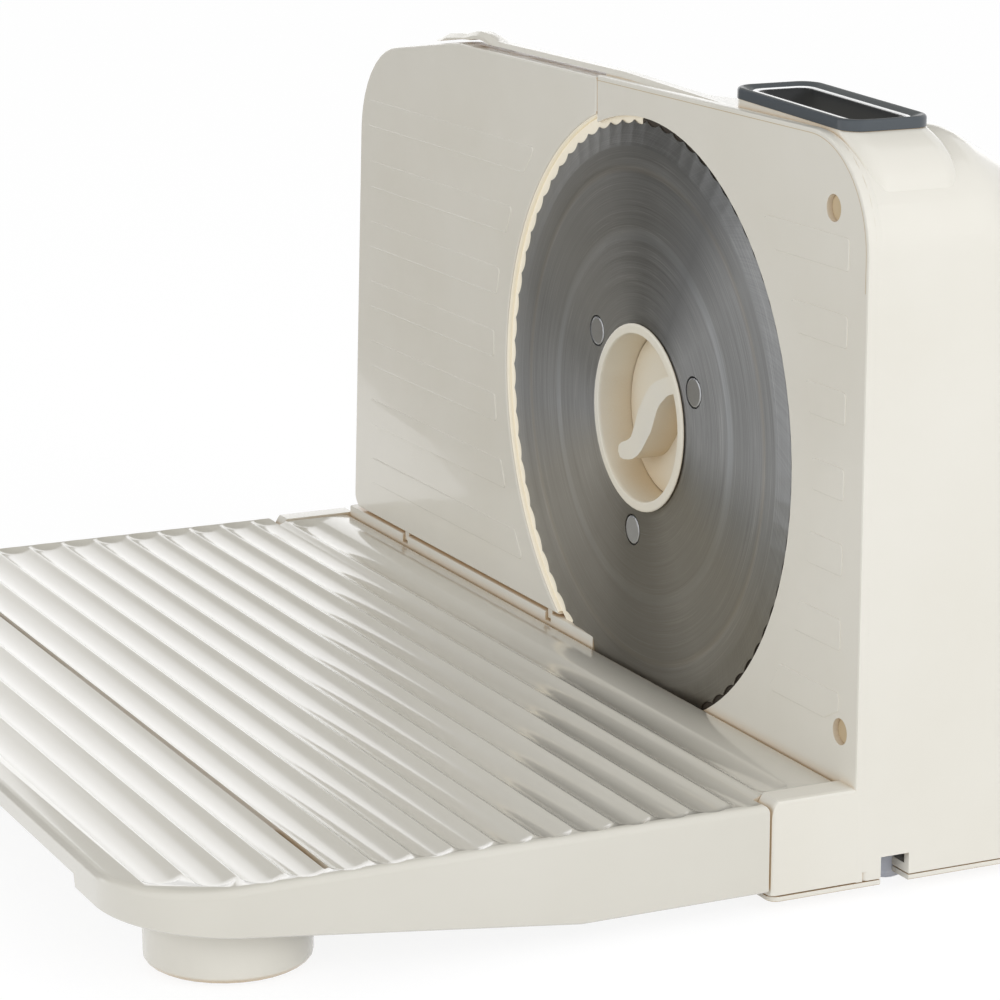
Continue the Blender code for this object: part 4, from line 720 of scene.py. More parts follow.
def gather(*solids: Mesh) -> Mesh:
    """Put several closed shells together.

    Args:
        solids: The shells.

    Returns:
        One list of points and one of faces.
    """
    points: List[Vector] = []
    faces: List[Tuple[int, ...]] = []
    for some_points, some_faces in solids:
        base = len(points)
        points.extend(some_points)
        faces.extend(tuple(base + index for index in face) for face in some_faces)
    return points, faces


def along_x(outline: Sequence[Pair], *places: float) -> Mesh:
    """Return an outline of (y, z) points drawn out along x."""
    return loft([[(x, y, z) for y, z in outline] for x in places])


def along_y(outline: Sequence[Pair], *places: float) -> Mesh:
    """Return an outline of (x, z) points drawn out along y."""
    return loft([[(x, y, z) for x, z in outline] for y in places])


def box(low: Sequence[float], high: Sequence[float]) -> Mesh:
    """Return a box between two corners."""
    outline = [(low[1], low[2]), (high[1], low[2]), (high[1], high[2]), (low[1], high[2])]
    return along_x(outline, low[0], high[0])


def moved(solid: Mesh) -> Mesh:
    """Return a solid carried from the blade's centre to its place."""
    return [Vector(point) + BLADE_CENTRE for point in solid[0]], solid[1]


def smooth(mesh: bpy.types.Mesh, angle: float) -> None:
    """Weld a mesh, face it outwards and shade it.

    Args:
        mesh: The mesh.
        angle: The angle in degrees from which it keeps an edge sharp.
    """
    work = bmesh.new()
    work.from_mesh(mesh)
    bmesh.ops.remove_doubles(work, verts=work.verts, dist=WELD)
    bmesh.ops.recalc_face_normals(work, faces=work.faces)
    work.to_mesh(mesh)
    work.free()
    mesh.shade_smooth()
    mesh.set_sharp_from_angle(angle=math.radians(angle))


def added(name: str, data: bpy.types.ID) -> bpy.types.Object:
    """Put a new object in the scene.

    Args:
        name: Its name.
        data: Its mesh, light or camera.

    Returns:
        The object.
    """
    item = bpy.data.objects.new(name, data)
    bpy.context.scene.collection.objects.link(item)
    return item


def new_piece(name: str, solid: Mesh, angle: float = CREASE) -> bpy.types.Object:
    """Build an object from points and faces.

    Args:
        name: Its name.
        solid: Its points and faces.
        angle: The angle in degrees from which it keeps an edge sharp.

    Returns:
        The object.
    """
    mesh = bpy.data.meshes.new(name)
    mesh.from_pydata(solid[0], [], solid[1])
    smooth(mesh, angle)
    return added(name, mesh)


def applied(item: bpy.types.Object, angle: float) -> None:
    """Turn an object's modifiers into its mesh.

    Args:
        item: The object.
        angle: The angle in degrees from which it keeps an edge sharp.
    """
    bpy.context.view_layer.update()
    graph = bpy.context.evaluated_depsgraph_get()
    result = bpy.data.meshes.new_from_object(item.evaluated_get(graph))
    item.modifiers.clear()
    former = item.data
    item.data = result
    result.name = item.name
    bpy.data.meshes.remove(former)
    smooth(result, angle)


def flatten(item: bpy.types.Object) -> None:
    """Let large faces keep their own normals beside small rounded edges.

    Args:
        item: The object.
    """
    modifier = item.modifiers.new("flat_faces", "WEIGHTED_NORMAL")
    modifier.keep_sharp = True
    modifier.weight = 100
    modifier.mode = "FACE_AREA"


def shaped(item: bpy.types.Object, solid: Mesh, operation: Operation, angle: float = CREASE) -> None:
    """Cut a solid from a piece or join it on.

    Args:
        item: The piece.
        solid: The solid.
        operation: Which of the two.
        angle: The angle in degrees from which the piece keeps an edge sharp.
    """
    tool = new_piece("tool", solid, angle)
    modifier = item.modifiers.new("shape", "BOOLEAN")
    modifier.operation = operation.value
    modifier.solver = "EXACT"
    modifier.object = tool
    applied(item, angle)
    mesh = tool.data
    bpy.data.objects.remove(tool, do_unlink=True)
    bpy.data.meshes.remove(mesh)


def painted(item: bpy.types.Object, finish: Finish) -> None:
    """Give an object its finish."""
    item.data.materials.clear()
    item.data.materials.append(finish.material())


def dressed(item: bpy.types.Object, finish: Finish, body: str, *nodes: str) -> bpy.types.Object:
    """Give a piece its finish, its body and the nodes that it stands for.

    Args:
        item: The piece.
        finish: Its finish.
        body: The body that it rides on.
        nodes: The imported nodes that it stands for.

    Returns:
        The piece.
    """
    painted(item, finish)
    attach(item, body)
    if nodes:
        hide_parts(*nodes)
    LOG.info("%s: %d faces, %s, rides on %s", item.name, len(item.data.polygons), finish.value.name, body)
    return item


@dataclass
class SoftEdges:
    """A packed shell again, with its moulded edges rounded off."""

    node: str
    body: str
    finish: Finish
    radius: float = 0.0004
    segments: int = 2
    limit: float = 40.0
    angle: float = CREASE
    flatness: float = 0.4

    def build(self, frame: Dict[str, Any]) -> bpy.types.Object:
        """Build the rounded shell.


        Returns:
            The piece.
        """
        mesh = frame["nodes"][self.node].data.copy()
        mesh.name = self.node + "_shell"
        work = bmesh.new()
        work.from_mesh(mesh)
        bmesh.ops.remove_doubles(work, verts=work.verts, dist=WELD)
        level = math.radians(self.flatness)
        bmesh.ops.dissolve_limit(work, angle_limit=level, verts=work.verts, edges=work.edges)
        work.to_mesh(mesh)
        work.free()
        item = added(self.node + "_shell", mesh)
        modifier = item.modifiers.new("edges", "BEVEL")
        modifier.width = self.radius
        modifier.segments = self.segments
        modifier.limit_method = "ANGLE"
        modifier.angle_limit = math.radians(self.limit)
        modifier.use_clamp_overlap = True
        modifier.harden_normals = False
        applied(item, self.angle)
        flatten(item)
        return dressed(item, self.finish, self.body, self.node)


@dataclass
class Blade:
    """The scalloped disc, turned about its own z axis before it is put in place."""

    face: float = 0.0001
    thickness: float = 0.0014
    radius: float = 0.085
    bore: float = 0.0260
    teeth: int = 72
    tooth_depth: float = 0.0011
    tooth_steps: int = 8
    edge: float = 0.0003
    crease: float = 18.0
    rivet_circle: float = 0.0342
    rivet_hole: float = 0.0046
    hole_steps: int = 40
    rivet_angles: Tuple[float, ...] = (37.0, 157.0, 277.0)
    ridges: Tuple[Pair, ...] = (
        (0.0500, 0.0), (0.0510, 0.00006), (0.0518, 0.00014), (0.0540, 0.00016), (0.0548, 0.00012),
        (0.0560, 0.00010), (0.0690, 0.00010), (0.0700, 0.00013), (0.0706, 0.00018), (0.0716, 0.00018),
        (0.0722, 0.00008), (0.0730, 0.0), (0.0775, 0.0), (0.0779, 0.00002))

    def build(self) -> bpy.types.Object:
        """Build the disc.

        Returns:
            The piece.
        """
        back = self.thickness
        profile = [(back, self.bore, 0.0), (0.0, self.bore, 0.0)]
        profile += [(dip, radius, 0.0) for radius, dip in self.ridges]
        profile += [(back - self.edge, self.radius, 1.0), (back, self.radius, 1.0)]
        steps = self.teeth * self.tooth_steps
        rings = []
        for depth, radius, toothed in profile:
            ring = []
            for index in range(steps):
                phase = (index % self.tooth_steps) / self.tooth_steps
                dip = self.tooth_depth * (1.0 - (2.0 * phase - 1.0) ** 2) * toothed
                angle = 2.0 * math.pi * index / steps
                ring.append(((radius - dip) * math.cos(angle), (radius - dip) * math.sin(angle), depth))
            rings.append(ring)
        item = new_piece("blade_disc", loft(rings, looped=True), self.crease)
        for degrees in self.rivet_angles:
            turn = math.radians(degrees)
            spot = (-self.rivet_circle * math.sin(turn), self.rivet_circle * math.cos(turn))
            hole = circle(spot, self.rivet_hole, self.hole_steps)
            solid = loft([[(x, y, z) for x, y in hole] for z in (-PAST, back + PAST)])
            shaped(item, solid, Operation.CUT, self.crease)
        item.matrix_world = Matrix.Translation(BLADE_CENTRE + Vector((self.face, 0.0, 0.0))) @ self.turned()
        return dressed(item, Finish.STEEL, "blade", "blade")

    def turned(self) -> Matrix:
        """Return the turn that lays the disc's z along the part's x, with its x down."""
        return Matrix(((0, 0, 1, 0), (0, 1, 0, 0), (-1, 0, 0, 0), (0, 0, 0, 1)))


@dataclass
class Table:
    """The fold-up table with its rounded flutes, guide slot, rim and hinge knuckles."""

    reach: float = 0.200
    near: float = -0.1225
    far: float = 0.2195
    top: float = -0.07566
    skin: float = 0.0030
    wall: float = 0.0024
    edge: float = 0.0022
    corner: float = 0.0280
    far_corner: float = 0.0080
    corner_steps: int = 16
    gap: float = 0.0010
    skirt_deep: float = 0.0240
    skirt_shallow: float = 0.0095
    skirt_bend: float = 0.0800
    skirt_step: float = 0.0033
    step_y: float = 0.0788
    step_width: float = 0.0010
    flutes: int = 16
    pitch: float = 0.01125
    strip: float = 0.0125
    flute_depth: float = 0.0015
    crest: float = 0.00016
    flute_end: float = 0.0012
    flute_corner: float = 0.0400
    slot_width: float = 0.0016
    slot_after: int = 12
    slot_end: float = 0.0050
    level_angles: Tuple[float, ...] = (90.0, 67.5, 45.0, 22.5, 0.0)
    foot_edge: float = 0.0004
    strip_edge: float = 0.0005
    end_angles: Tuple[float, ...] = (84.0, 75.0, 64.0, 52.0, 40.0, 27.0, 14.0)
    trough_steps: int = 18
    hinge_x: float = 0.0180
    hinge_drop: float = 0.0044
    ear_radius: float = 0.0072
    ear_width: float = 0.0080
    ear_gap: float = 0.0003
    ear_steps: int = 12
    pin_radius: float = 0.0019
    pin_steps: int = 24
    pin_inset: float = 0.0011
    pin_length: float = 0.0165
    knuckle: Triple = (0.0100, 0.0050, 0.0085)
    knuckle_sink: float = 0.0002

    def build(self) -> bpy.types.Object:
        """Build the table.

        Returns:
            The piece.
        """
        item = new_piece("fluted_table", self.tray())
        axis = (-self.hinge_x, self.top - self.hinge_drop)
        near = self.near + self.ear_width + self.ear_gap
        far = self.far - self.ear_width - self.ear_gap
        sweep = arc(axis, self.ear_radius + self.gap / 2.0, 90.0, 180.0, self.ear_steps) + [axis]
        for places in ((self.near - self.ear_gap, near), (far, self.far + self.ear_gap)):
            shaped(item, moved(along_y(sweep, *places)), Operation.CUT)
        bottom = self.top - self.skin
        left = -self.hinge_x - self.ear_radius - self.wall
        shaped(item, moved(self.inner_strip(left, near, far, bottom)), Operation.ADD)
        length, half, depth = self.knuckle
        for start in (near, far - length):
            low = (axis[0] - half, start, self.top - depth)
            high = (axis[0] + half, start + length, bottom + self.knuckle_sink)
            shaped(item, moved(box(low, high)), Operation.ADD)
        shaped(item, moved(self.flute_cutters()), Operation.CUT)
        slot = -self.strip - self.pitch * self.slot_after
        half = self.slot_width / 2.0
        shaped(item, moved(box((slot - half, self.near + self.slot_end, bottom - PAST),
                               (slot + half, self.far - self.slot_end, self.top + PAST))), Operation.CUT)
        bore = circle(axis, self.pin_radius, self.pin_steps)
        for start in (self.near + self.pin_inset, self.far - self.pin_inset - self.pin_length):
            shaped(item, moved(along_y(bore, start, start + self.pin_length)), Operation.CUT)
        return dressed(item, Finish.TABLE, "table", "folding_table")

    def inner_strip(self, left: float, near: float, far: float, bottom: float) -> Mesh:
        """Return the flat strip between the hinge ears, with its blade side softened.

        Args:
            left: Where it starts, in x.
            near: Its near end.
            far: Its far end.
            bottom: Its underside.

        Returns:
            The solid.
        """
        soft = self.strip_edge
        outline = [(left, bottom), (-self.gap, bottom), (-self.gap, self.top - soft),
                   (-self.gap - soft * SOFT_SHARE, self.top - soft * SOFT_SHARE),
                   (-self.gap - soft, self.top), (left, self.top)]
        return along_y(outline, near, far)

    def rim_depth(self, x: float, y: float) -> float:
        """Return how deep the rim is at a place.

        Args:
            x: The place along x.
            y: The place along y.

        Returns:
            The depth below the table's top.
        """
        bend = max(0.0, -x - self.skirt_bend) / (self.reach - self.skirt_bend)
        depth = self.skirt_deep - (self.skirt_deep - self.skirt_shallow) * bend
        outside = -x > self.reach - self.corner / 2.0
        share = min(max((-y - self.step_y) / self.step_width, 0.0), 1.0) if outside else 1.0
        return depth - self.skirt_step * (1.0 - share)

    def outline(self) -> List[Pair]:
        """Return the table's outline.

        Returns:
            Its points as (x, y).
        """
        right = -self.hinge_x - self.ear_radius - self.gap / 2.0
        corners = rounded([(-self.reach, self.near, self.corner), (right, self.near, 0),
                           (right, self.far, 0), (-self.reach, self.far, self.far_corner)], self.corner_steps)
        points = []
        for index, point in enumerate(corners):
            following = corners[(index + 1) % len(corners)]
            points.append(point)
            if abs(following[0] - point[0]) > self.skirt_bend:
                share = (-self.skirt_bend - point[0]) / (following[0] - point[0])
                points.append((-self.skirt_bend, point[1] + (following[1] - point[1]) * share))
            elif point[1] - following[1] > self.reach:
                points.append((-self.reach, -self.step_y))
                points.append((-self.reach, -self.step_y - self.step_width))
        return points

    def tray(self) -> Mesh:
        """Return the table's top with its rim.

        Returns:
            The solid.
        """
        outline = self.outline()
        depths = [self.rim_depth(x, y) for x, y in outline]
        inner = inset(outline, self.wall)
        levels = []
        for degrees in self.level_angles:
            angle = math.radians(degrees)
            pull = self.edge * (1.0 - math.cos(angle))
            drop = self.edge * (1.0 - math.sin(angle))
            levels.append([(x, y, self.top - drop) for x, y in inset(outline, pull)])
        soft = self.foot_edge
        for ring, rise in ((outline, soft), (inset(outline, soft), 0.0), (inner, 0.0)):
            levels.append([(x, y, self.top - depth + rise) for (x, y), depth in zip(ring, depths)])
        levels.append([(x, y, self.top - self.skin) for x, y in inner])
        return moved(loft(levels))

    def flute_cutters(self) -> Mesh:
        """Return the hollows of the flutes, side by side.

        Returns:
            The solids.
        """
        half = (self.pitch - self.crest) / 2.0
        shares = [math.sin(math.radians(angle)) for angle in self.end_angles]
        shells = []
        for index in range(self.flutes):
            centre = -self.strip - self.pitch * (index + 0.5)
            trim = self.ear_width if -centre < self.hinge_x + self.ear_radius else 0.0
            beyond = max(0.0, -centre - self.reach + self.flute_corner)
            round_off = self.flute_corner - math.sqrt(self.flute_corner ** 2 - beyond ** 2)
            near = self.near + trim + round_off + self.flute_end + half
            far = self.far - trim - self.flute_end - half
            stations = [(near - half * share, half * share) for share in shares] + [(near, 0.0), (far, 0.0)]
            stations += [(far + half * share, half * share) for share in reversed(shares)]
            shells.append(loft([self.trough(centre, half, y, away) for y, away in stations]))
        return gather(*shells)

    def trough(self, centre: float, half: float, y: float, away: float) -> Section:
        """Return the section of one flute's hollow.

        Args:
            centre: The flute's middle, in x.
            half: Half of its width.
            y: Where the section lies.
            away: How far it is into the flute's rounded end.

        Returns:
            The section's points.
        """
        radius = (half ** 2 + self.flute_depth ** 2) / (2.0 * self.flute_depth)
        rise = radius - self.flute_depth
        section = math.sqrt(radius ** 2 - away ** 2)
        width = math.sqrt(section ** 2 - rise ** 2)
        ring = [(centre + width, y, self.top + PAST), (centre - width, y, self.top + PAST)]
        for step in range(self.trough_steps + 1):
            across = -width + 2.0 * width * step / self.trough_steps
            ring.append((centre + across, y, self.top + rise - math.sqrt(section ** 2 - across ** 2)))
        return ring


@dataclass
class Switch:
    """The tilted switch: its collar and frame, the white line and the rocker with its finger dish."""

    place: Triple = (0.0160, -0.0750, 0.0961)
    tilt: float = 2.1
    width: float = 0.0260
    length: float = 0.0620
    corner: float = 0.0058
    corner_follow: float = 0.5
    corner_most: float = 0.98
    corner_steps: int = 10
    crease: float = 40.0
    collar_crease: float = 75.0
    rocker_crease: float = 50.0
    frame: Tuple[Pair, ...] = (
        (0.0, 0.0), (0.0, 0.0022), (0.0001, 0.0026), (0.0004, 0.0029), (0.0008, 0.0030), (0.0012, 0.00285),
        (0.0030, 0.0020), (0.0032, 0.0018), (0.0033, 0.0014), (0.0033, 0.0))
    line: Tuple[Pair, ...] = (
        (0.0034, 0.0005), (0.0034, 0.0019), (0.0035, 0.0021), (0.0037, 0.0022), (0.0042, 0.0022),
        (0.0044, 0.0020), (0.0044, 0.0005))
    collar_pull: float = 0.0002
    collar_wall: float = 0.0038
    collar_levels: Tuple[Pair, ...] = (
        (-0.0001, 0.0), (-0.0007, 0.08), (-0.0018, 0.26), (-0.0036, 0.50), (-0.0062, 0.74), (-0.0095, 0.93),
        (-0.0130, 1.06), (-0.0155, 1.08))
    collar_flare: float = 0.0115
    collar_spread: float = 0.0050
    side: float = 0.0047
    skirt: float = -0.0055
    rim: float = 0.0020
    rim_round: Tuple[Pair, ...] = ((0.0, 0.0004), (0.0002, 0.0001), (0.0005, 0.0))
    dish_start: float = 0.0009
    dish_middle: float = 0.0004
    dish_drop: float = 0.0001
    dish_corner: Pair = (0.0034, 0.0035)
    dish_powers: Pair = (0.85, 0.62)
    dish: float = 0.0050
    dish_steps: int = 18
    stem_sink: float = 0.0003
    stem_radius: float = 0.0030
    stem_steps: int = 32
    stem_foot: float = -0.0062

    def build(self) -> None:
        """Build the frame, the line, the collar and the rocker."""
        frame = new_piece("switch_surround", self.turned_ring(self.frame), self.crease)
        dressed(frame, Finish.SLATE, "housing", "switch_bezel")
        line = new_piece("switch_white_line", self.turned_ring(self.line), self.crease)
        dressed(line, Finish.LINE, "housing", "switch_ring")
        collar = new_piece("switch_collar", self.collar(), self.collar_crease)
        dressed(collar, Finish.IVORY, "housing", "switch_base")
        self.rocker()

    def seat(self) -> Matrix:
        """Return the place and tilt of the switch."""
        turn = Matrix.Rotation(math.radians(self.tilt), 4, "X")
        return Matrix.Translation(BLADE_CENTRE + Vector(self.place)) @ turn

    def collar(self) -> Mesh:
        """Return the wall between the roof and the frame, which leans out at its near end.

        Returns:
            The solid.
        """
        rings = [self.leaning(self.collar_pull, height, share) for height, share in self.collar_levels]
        rings += [self.leaning(self.collar_wall, height, 0.0) for height, _ in reversed(self.collar_levels)]
        return loft(rings, looped=True)

    def leaning(self, pull: float, height: float, share: float) -> Ring:
        """Return an outline with its near half drawn out.

        Args:
            pull: How far the outline lies inside the frame's outer edge.
            height: Its height above the frame's underside.
            share: The share of the flare.

        Returns:
            The outline's points.
        """
        seat = self.seat()
        reach = self.length / 2.0
        ring = []
        for point in self.loop(pull, height):
            place = seat.inverted() @ point
            if place.y < 0.0:
                nearness = -place.y / reach
                spread = share * nearness ** 2 * self.collar_spread
                place.x += spread * max(0.0, place.x) / (self.width / 2.0)
                place.y *= 1.0 + share * self.collar_flare / reach
            ring.append(seat @ place)
        return ring

    def loop(self, pull: float, height: float, corner: Optional[float] = None) -> Ring:
        """Return a rounded outline in the switch's tilted plane.

        Args:
            pull: How far the outline lies inside the frame's outer edge.
            height: Its height above the frame's underside.
            corner: The radius of its corners, or None for one that follows from the pull.

        Returns:
            The outline's points.
        """
        radius = self.corner - pull * self.corner_follow if corner is None else corner
        half_x = self.width / 2.0 - pull
        half_y = self.length / 2.0 - pull
        radius = min(radius, half_x * self.corner_most)
        outline = rounded([(-half_x, -half_y, radius), (half_x, -half_y, radius),
                           (half_x, half_y, radius), (-half_x, half_y, radius)], self.corner_steps)
        seat = self.seat()
        return [seat @ Vector((x, y, height)) for x, y in outline]

    def turned_ring(self, profile: Sequence[Pair]) -> Mesh:
        """Return a ring with a profile of pulls and heights."""
        return loft([self.loop(pull, height) for pull, height in profile], looped=True)

    def rocker(self) -> bpy.types.Object:
        """Build the rocker with its rounded rim, its finger dish and its stem.

        Returns:
            The piece.
        """
        rings = [self.loop(self.side, self.skirt)]
        rings += [self.loop(self.side + pull, self.rim - drop) for pull, drop in self.rim_round]
        start = self.side + self.dish_start
        reach = self.width / 2.0 - start - self.dish_middle
        corner, widening = self.dish_corner
        fall, draw = self.dish_powers
        for step in range(self.dish_steps + 1):
            share = step / self.dish_steps
            depth = self.dish * math.sin(share * math.pi / 2.0) ** fall
            pull = start + reach * (1.0 - math.cos(share * math.pi / 2.0)) ** draw
            rings.append(self.loop(pull, self.rim - self.dish_drop - depth, corner + widening * share))
        item = new_piece("switch_rocker", loft(rings), self.rocker_crease)
        seat = self.seat()
        outline = circle((0.0, 0.0), self.stem_radius, self.stem_steps)
        stem = [[seat @ Vector((x, y, height)) for x, y in outline]
                for height in (self.skirt + self.stem_sink, self.stem_foot)]
        shaped(item, loft(stem), Operation.ADD, self.rocker_crease)
        return dressed(item, Finish.BLACK, "button", "switch_button")


@dataclass
class Trim:
    """The strips, lines, rings, caps and sill that finish the plates and the blade's opening; the opening's
    lip and the ring behind the teeth carry painted light, and the recess ring painted shadow.
    """

    near: float = -0.1225
    low: float = -0.0985
    top: float = 0.0949
    ledge: float = 0.0943
    corner: float = 0.0300
    corner_steps: int = 28
    crease: float = 40.0
    lip_crease: float = 60.0
    split: float = 0.0285
    strip: Triple = (0.0024, 0.0026, 0.0043)
    strip_depth: float = 0.0009
    sink: float = 0.00003
    line_inset: float = 0.00125
    line_width: float = 0.00018
    line_low: float = 0.0560
    line_depths: Pair = (-0.00003, 0.0004)
    path_end: float = 0.0001
    lip_profile: Tuple[Pair, ...] = (
        (0.08870, 0.0006), (0.08842, 0.0006), (0.08828, 0.0008), (0.08818, 0.0012), (0.08812, 0.0017),
        (0.08812, 0.0022), (0.08870, 0.0022))
    lip_angles: Pair = (-53.3, 70.6)
    lip_steps: int = 72
    recess_profile: Tuple[Pair, ...] = (
        (0.0836, 0.0017), (0.0854, 0.0017), (0.0856, 0.0019), (0.0856, 0.0022), (0.0836, 0.0022))
    recess_angles: Pair = (88.0, 302.0)
    recess_steps: int = 144
    backing_profile: Tuple[Pair, ...] = (
        (0.0832, 0.0017), (0.0878, 0.0017), (0.0880, 0.0019), (0.0880, 0.0024), (0.0832, 0.0024))
    backing_angles: Pair = (-58.0, 87.9)
    backing_steps: int = 84
    screws: Tuple[Pair, ...] = ((-0.1048, 0.0757), (-0.1137, -0.0618))
    screw_radius: float = 0.0035
    screw_steps: int = 40
    screw_depth: Pair = (0.0016, 0.0030)
    sill_low: Triple = (0.00005, 0.0288, -0.0770)
    sill_high: Triple = (0.0120, 0.2110, -0.0725)
    sill_soft: float = 0.0005
    nub_middles: Pair = (0.0587, 0.1652)
    nub_slot: float = 0.0038
    nub_floor: float = -0.0752
    split_low: Triple = (0.00005, 0.0282, 0.0845)
    split_high: Triple = (0.0024, 0.0290, 0.0938)

    def build(self) -> None:
        """Build the trims."""
        levels = zip(self.strip, (self.top, self.top, self.ledge))
        strip = [self.edging(x, top, self.sink, self.strip_depth, self.low) for x, top in levels]
        line = [self.edging(x, self.top, self.line_inset, self.line_width, self.line_low)
                for x in self.line_depths]
        self.trim("plate_joint_strip", loft(strip), Finish.IVORY, self.crease)
        self.trim("plate_parting_line", loft(line), Finish.MARK, self.crease)
        lip = self.swept(self.lip_profile, self.lip_angles, self.lip_steps)
        recess = self.swept(self.recess_profile, self.recess_angles, self.recess_steps)
        backing = self.swept(self.backing_profile, self.backing_angles, self.backing_steps)
        # The opening's lip carries painted light.
        self.trim("opening_lip", lip, Finish.PAINTED_LIGHT_LIP, self.lip_crease, "stop")
        # A dark ring that paints the shadow in the gap behind the teeth.
        self.trim("painted_shadow_recess", recess, Finish.GAP, self.crease)
        # The backing ring behind the teeth carries painted light.
        self.trim("teeth_backing", backing, Finish.PAINTED_LIGHT_LIP, self.crease)
        for number, place in enumerate(self.screws, 1):
            cap = along_x(circle(place, self.screw_radius, self.screw_steps), *self.screw_depth)
            self.trim("screw_cap_%d" % number, cap, Finish.MARK)
        self.trim("split_edge", box(self.split_low, self.split_high), Finish.IVORY)
        self.sill()

    def trim(self, name: str, solid: Mesh, finish: Finish, angle: float = CREASE,
             body: str = "housing") -> None:
        """Build one trim from a solid about the blade's centre."""
        dressed(new_piece(name, moved(solid), angle), finish, body)

    def edging(self, x: float, top: float, pull: float, width: float, low: float) -> Section:
        """Return the section at one x of a band that follows the plate's edge.

        Args:
            x: Where the section lies.
            top: The height of the plate's top.
            pull: How far inside the edge the band starts.
            width: Its width.
            low: The height of its foot.

        Returns:
            The section's points.
        """
        outer = self.path(top, pull, low)
        inner = self.path(top, pull + width, low)
        return [(x, y, z) for y, z in outer + inner[::-1]]

    def path(self, top: float, pull: float, low: float) -> List[Pair]:
        """Return the way up the plate's near side, round its corner and along its top, as (y, z).

        Args:
            top: The height of the top.
            pull: How far inside the edge the way runs.
            low: The height at which it starts.

        Returns:
            The points.
        """
        middle = (self.near + self.corner, top - self.corner)
        points = [(self.near + pull, low)]
        points += arc(middle, self.corner - pull, 180.0, 90.0, self.corner_steps)
        points.append((self.split - self.path_end, top - pull))
        return points

    def swept(self, profile: Sequence[Pair], angles: Pair, steps: int) -> Mesh:
        """Return a profile swept round the blade's axis.

        Args:
            profile: Points as radius and x.
            angles: Where the sweep starts and ends, in degrees from the y axis.
            steps: How many steps it takes.

        Returns:
            The solid.
        """
        first, last = angles
        rings = []
        for step in range(steps + 1):
            angle = math.radians(first + (last - first) * step / steps)
            rings.append([(x, radius * math.cos(angle), radius * math.sin(angle)) for radius, x in profile])
        return loft(rings)

    def sill(self) -> bpy.types.Object:
        """Build the sill under the sliding plate, with a slot for each of its nubs.

        Returns:
            The piece.
        """
        (front, near, low), (back, far, high) = self.sill_low, self.sill_high
        soft = self.sill_soft
        outline = [(front, low), (back, low), (back, high), (front + soft, high),
                   (front + soft * SOFT_SHARE, high - soft * SOFT_SHARE), (front, high - soft)]
        item = new_piece("plate_sill", moved(along_y(outline, near, far)))
        half = self.nub_slot / 2.0
        for middle in self.nub_middles:
            low_end = (front - PAST, middle - half, self.nub_floor)
            high_end = (back + PAST, middle + half, high + PAST)
            shaped(item, moved(box(low_end, high_end)), Operation.CUT)
        return dressed(item, Finish.IVORY, "housing")


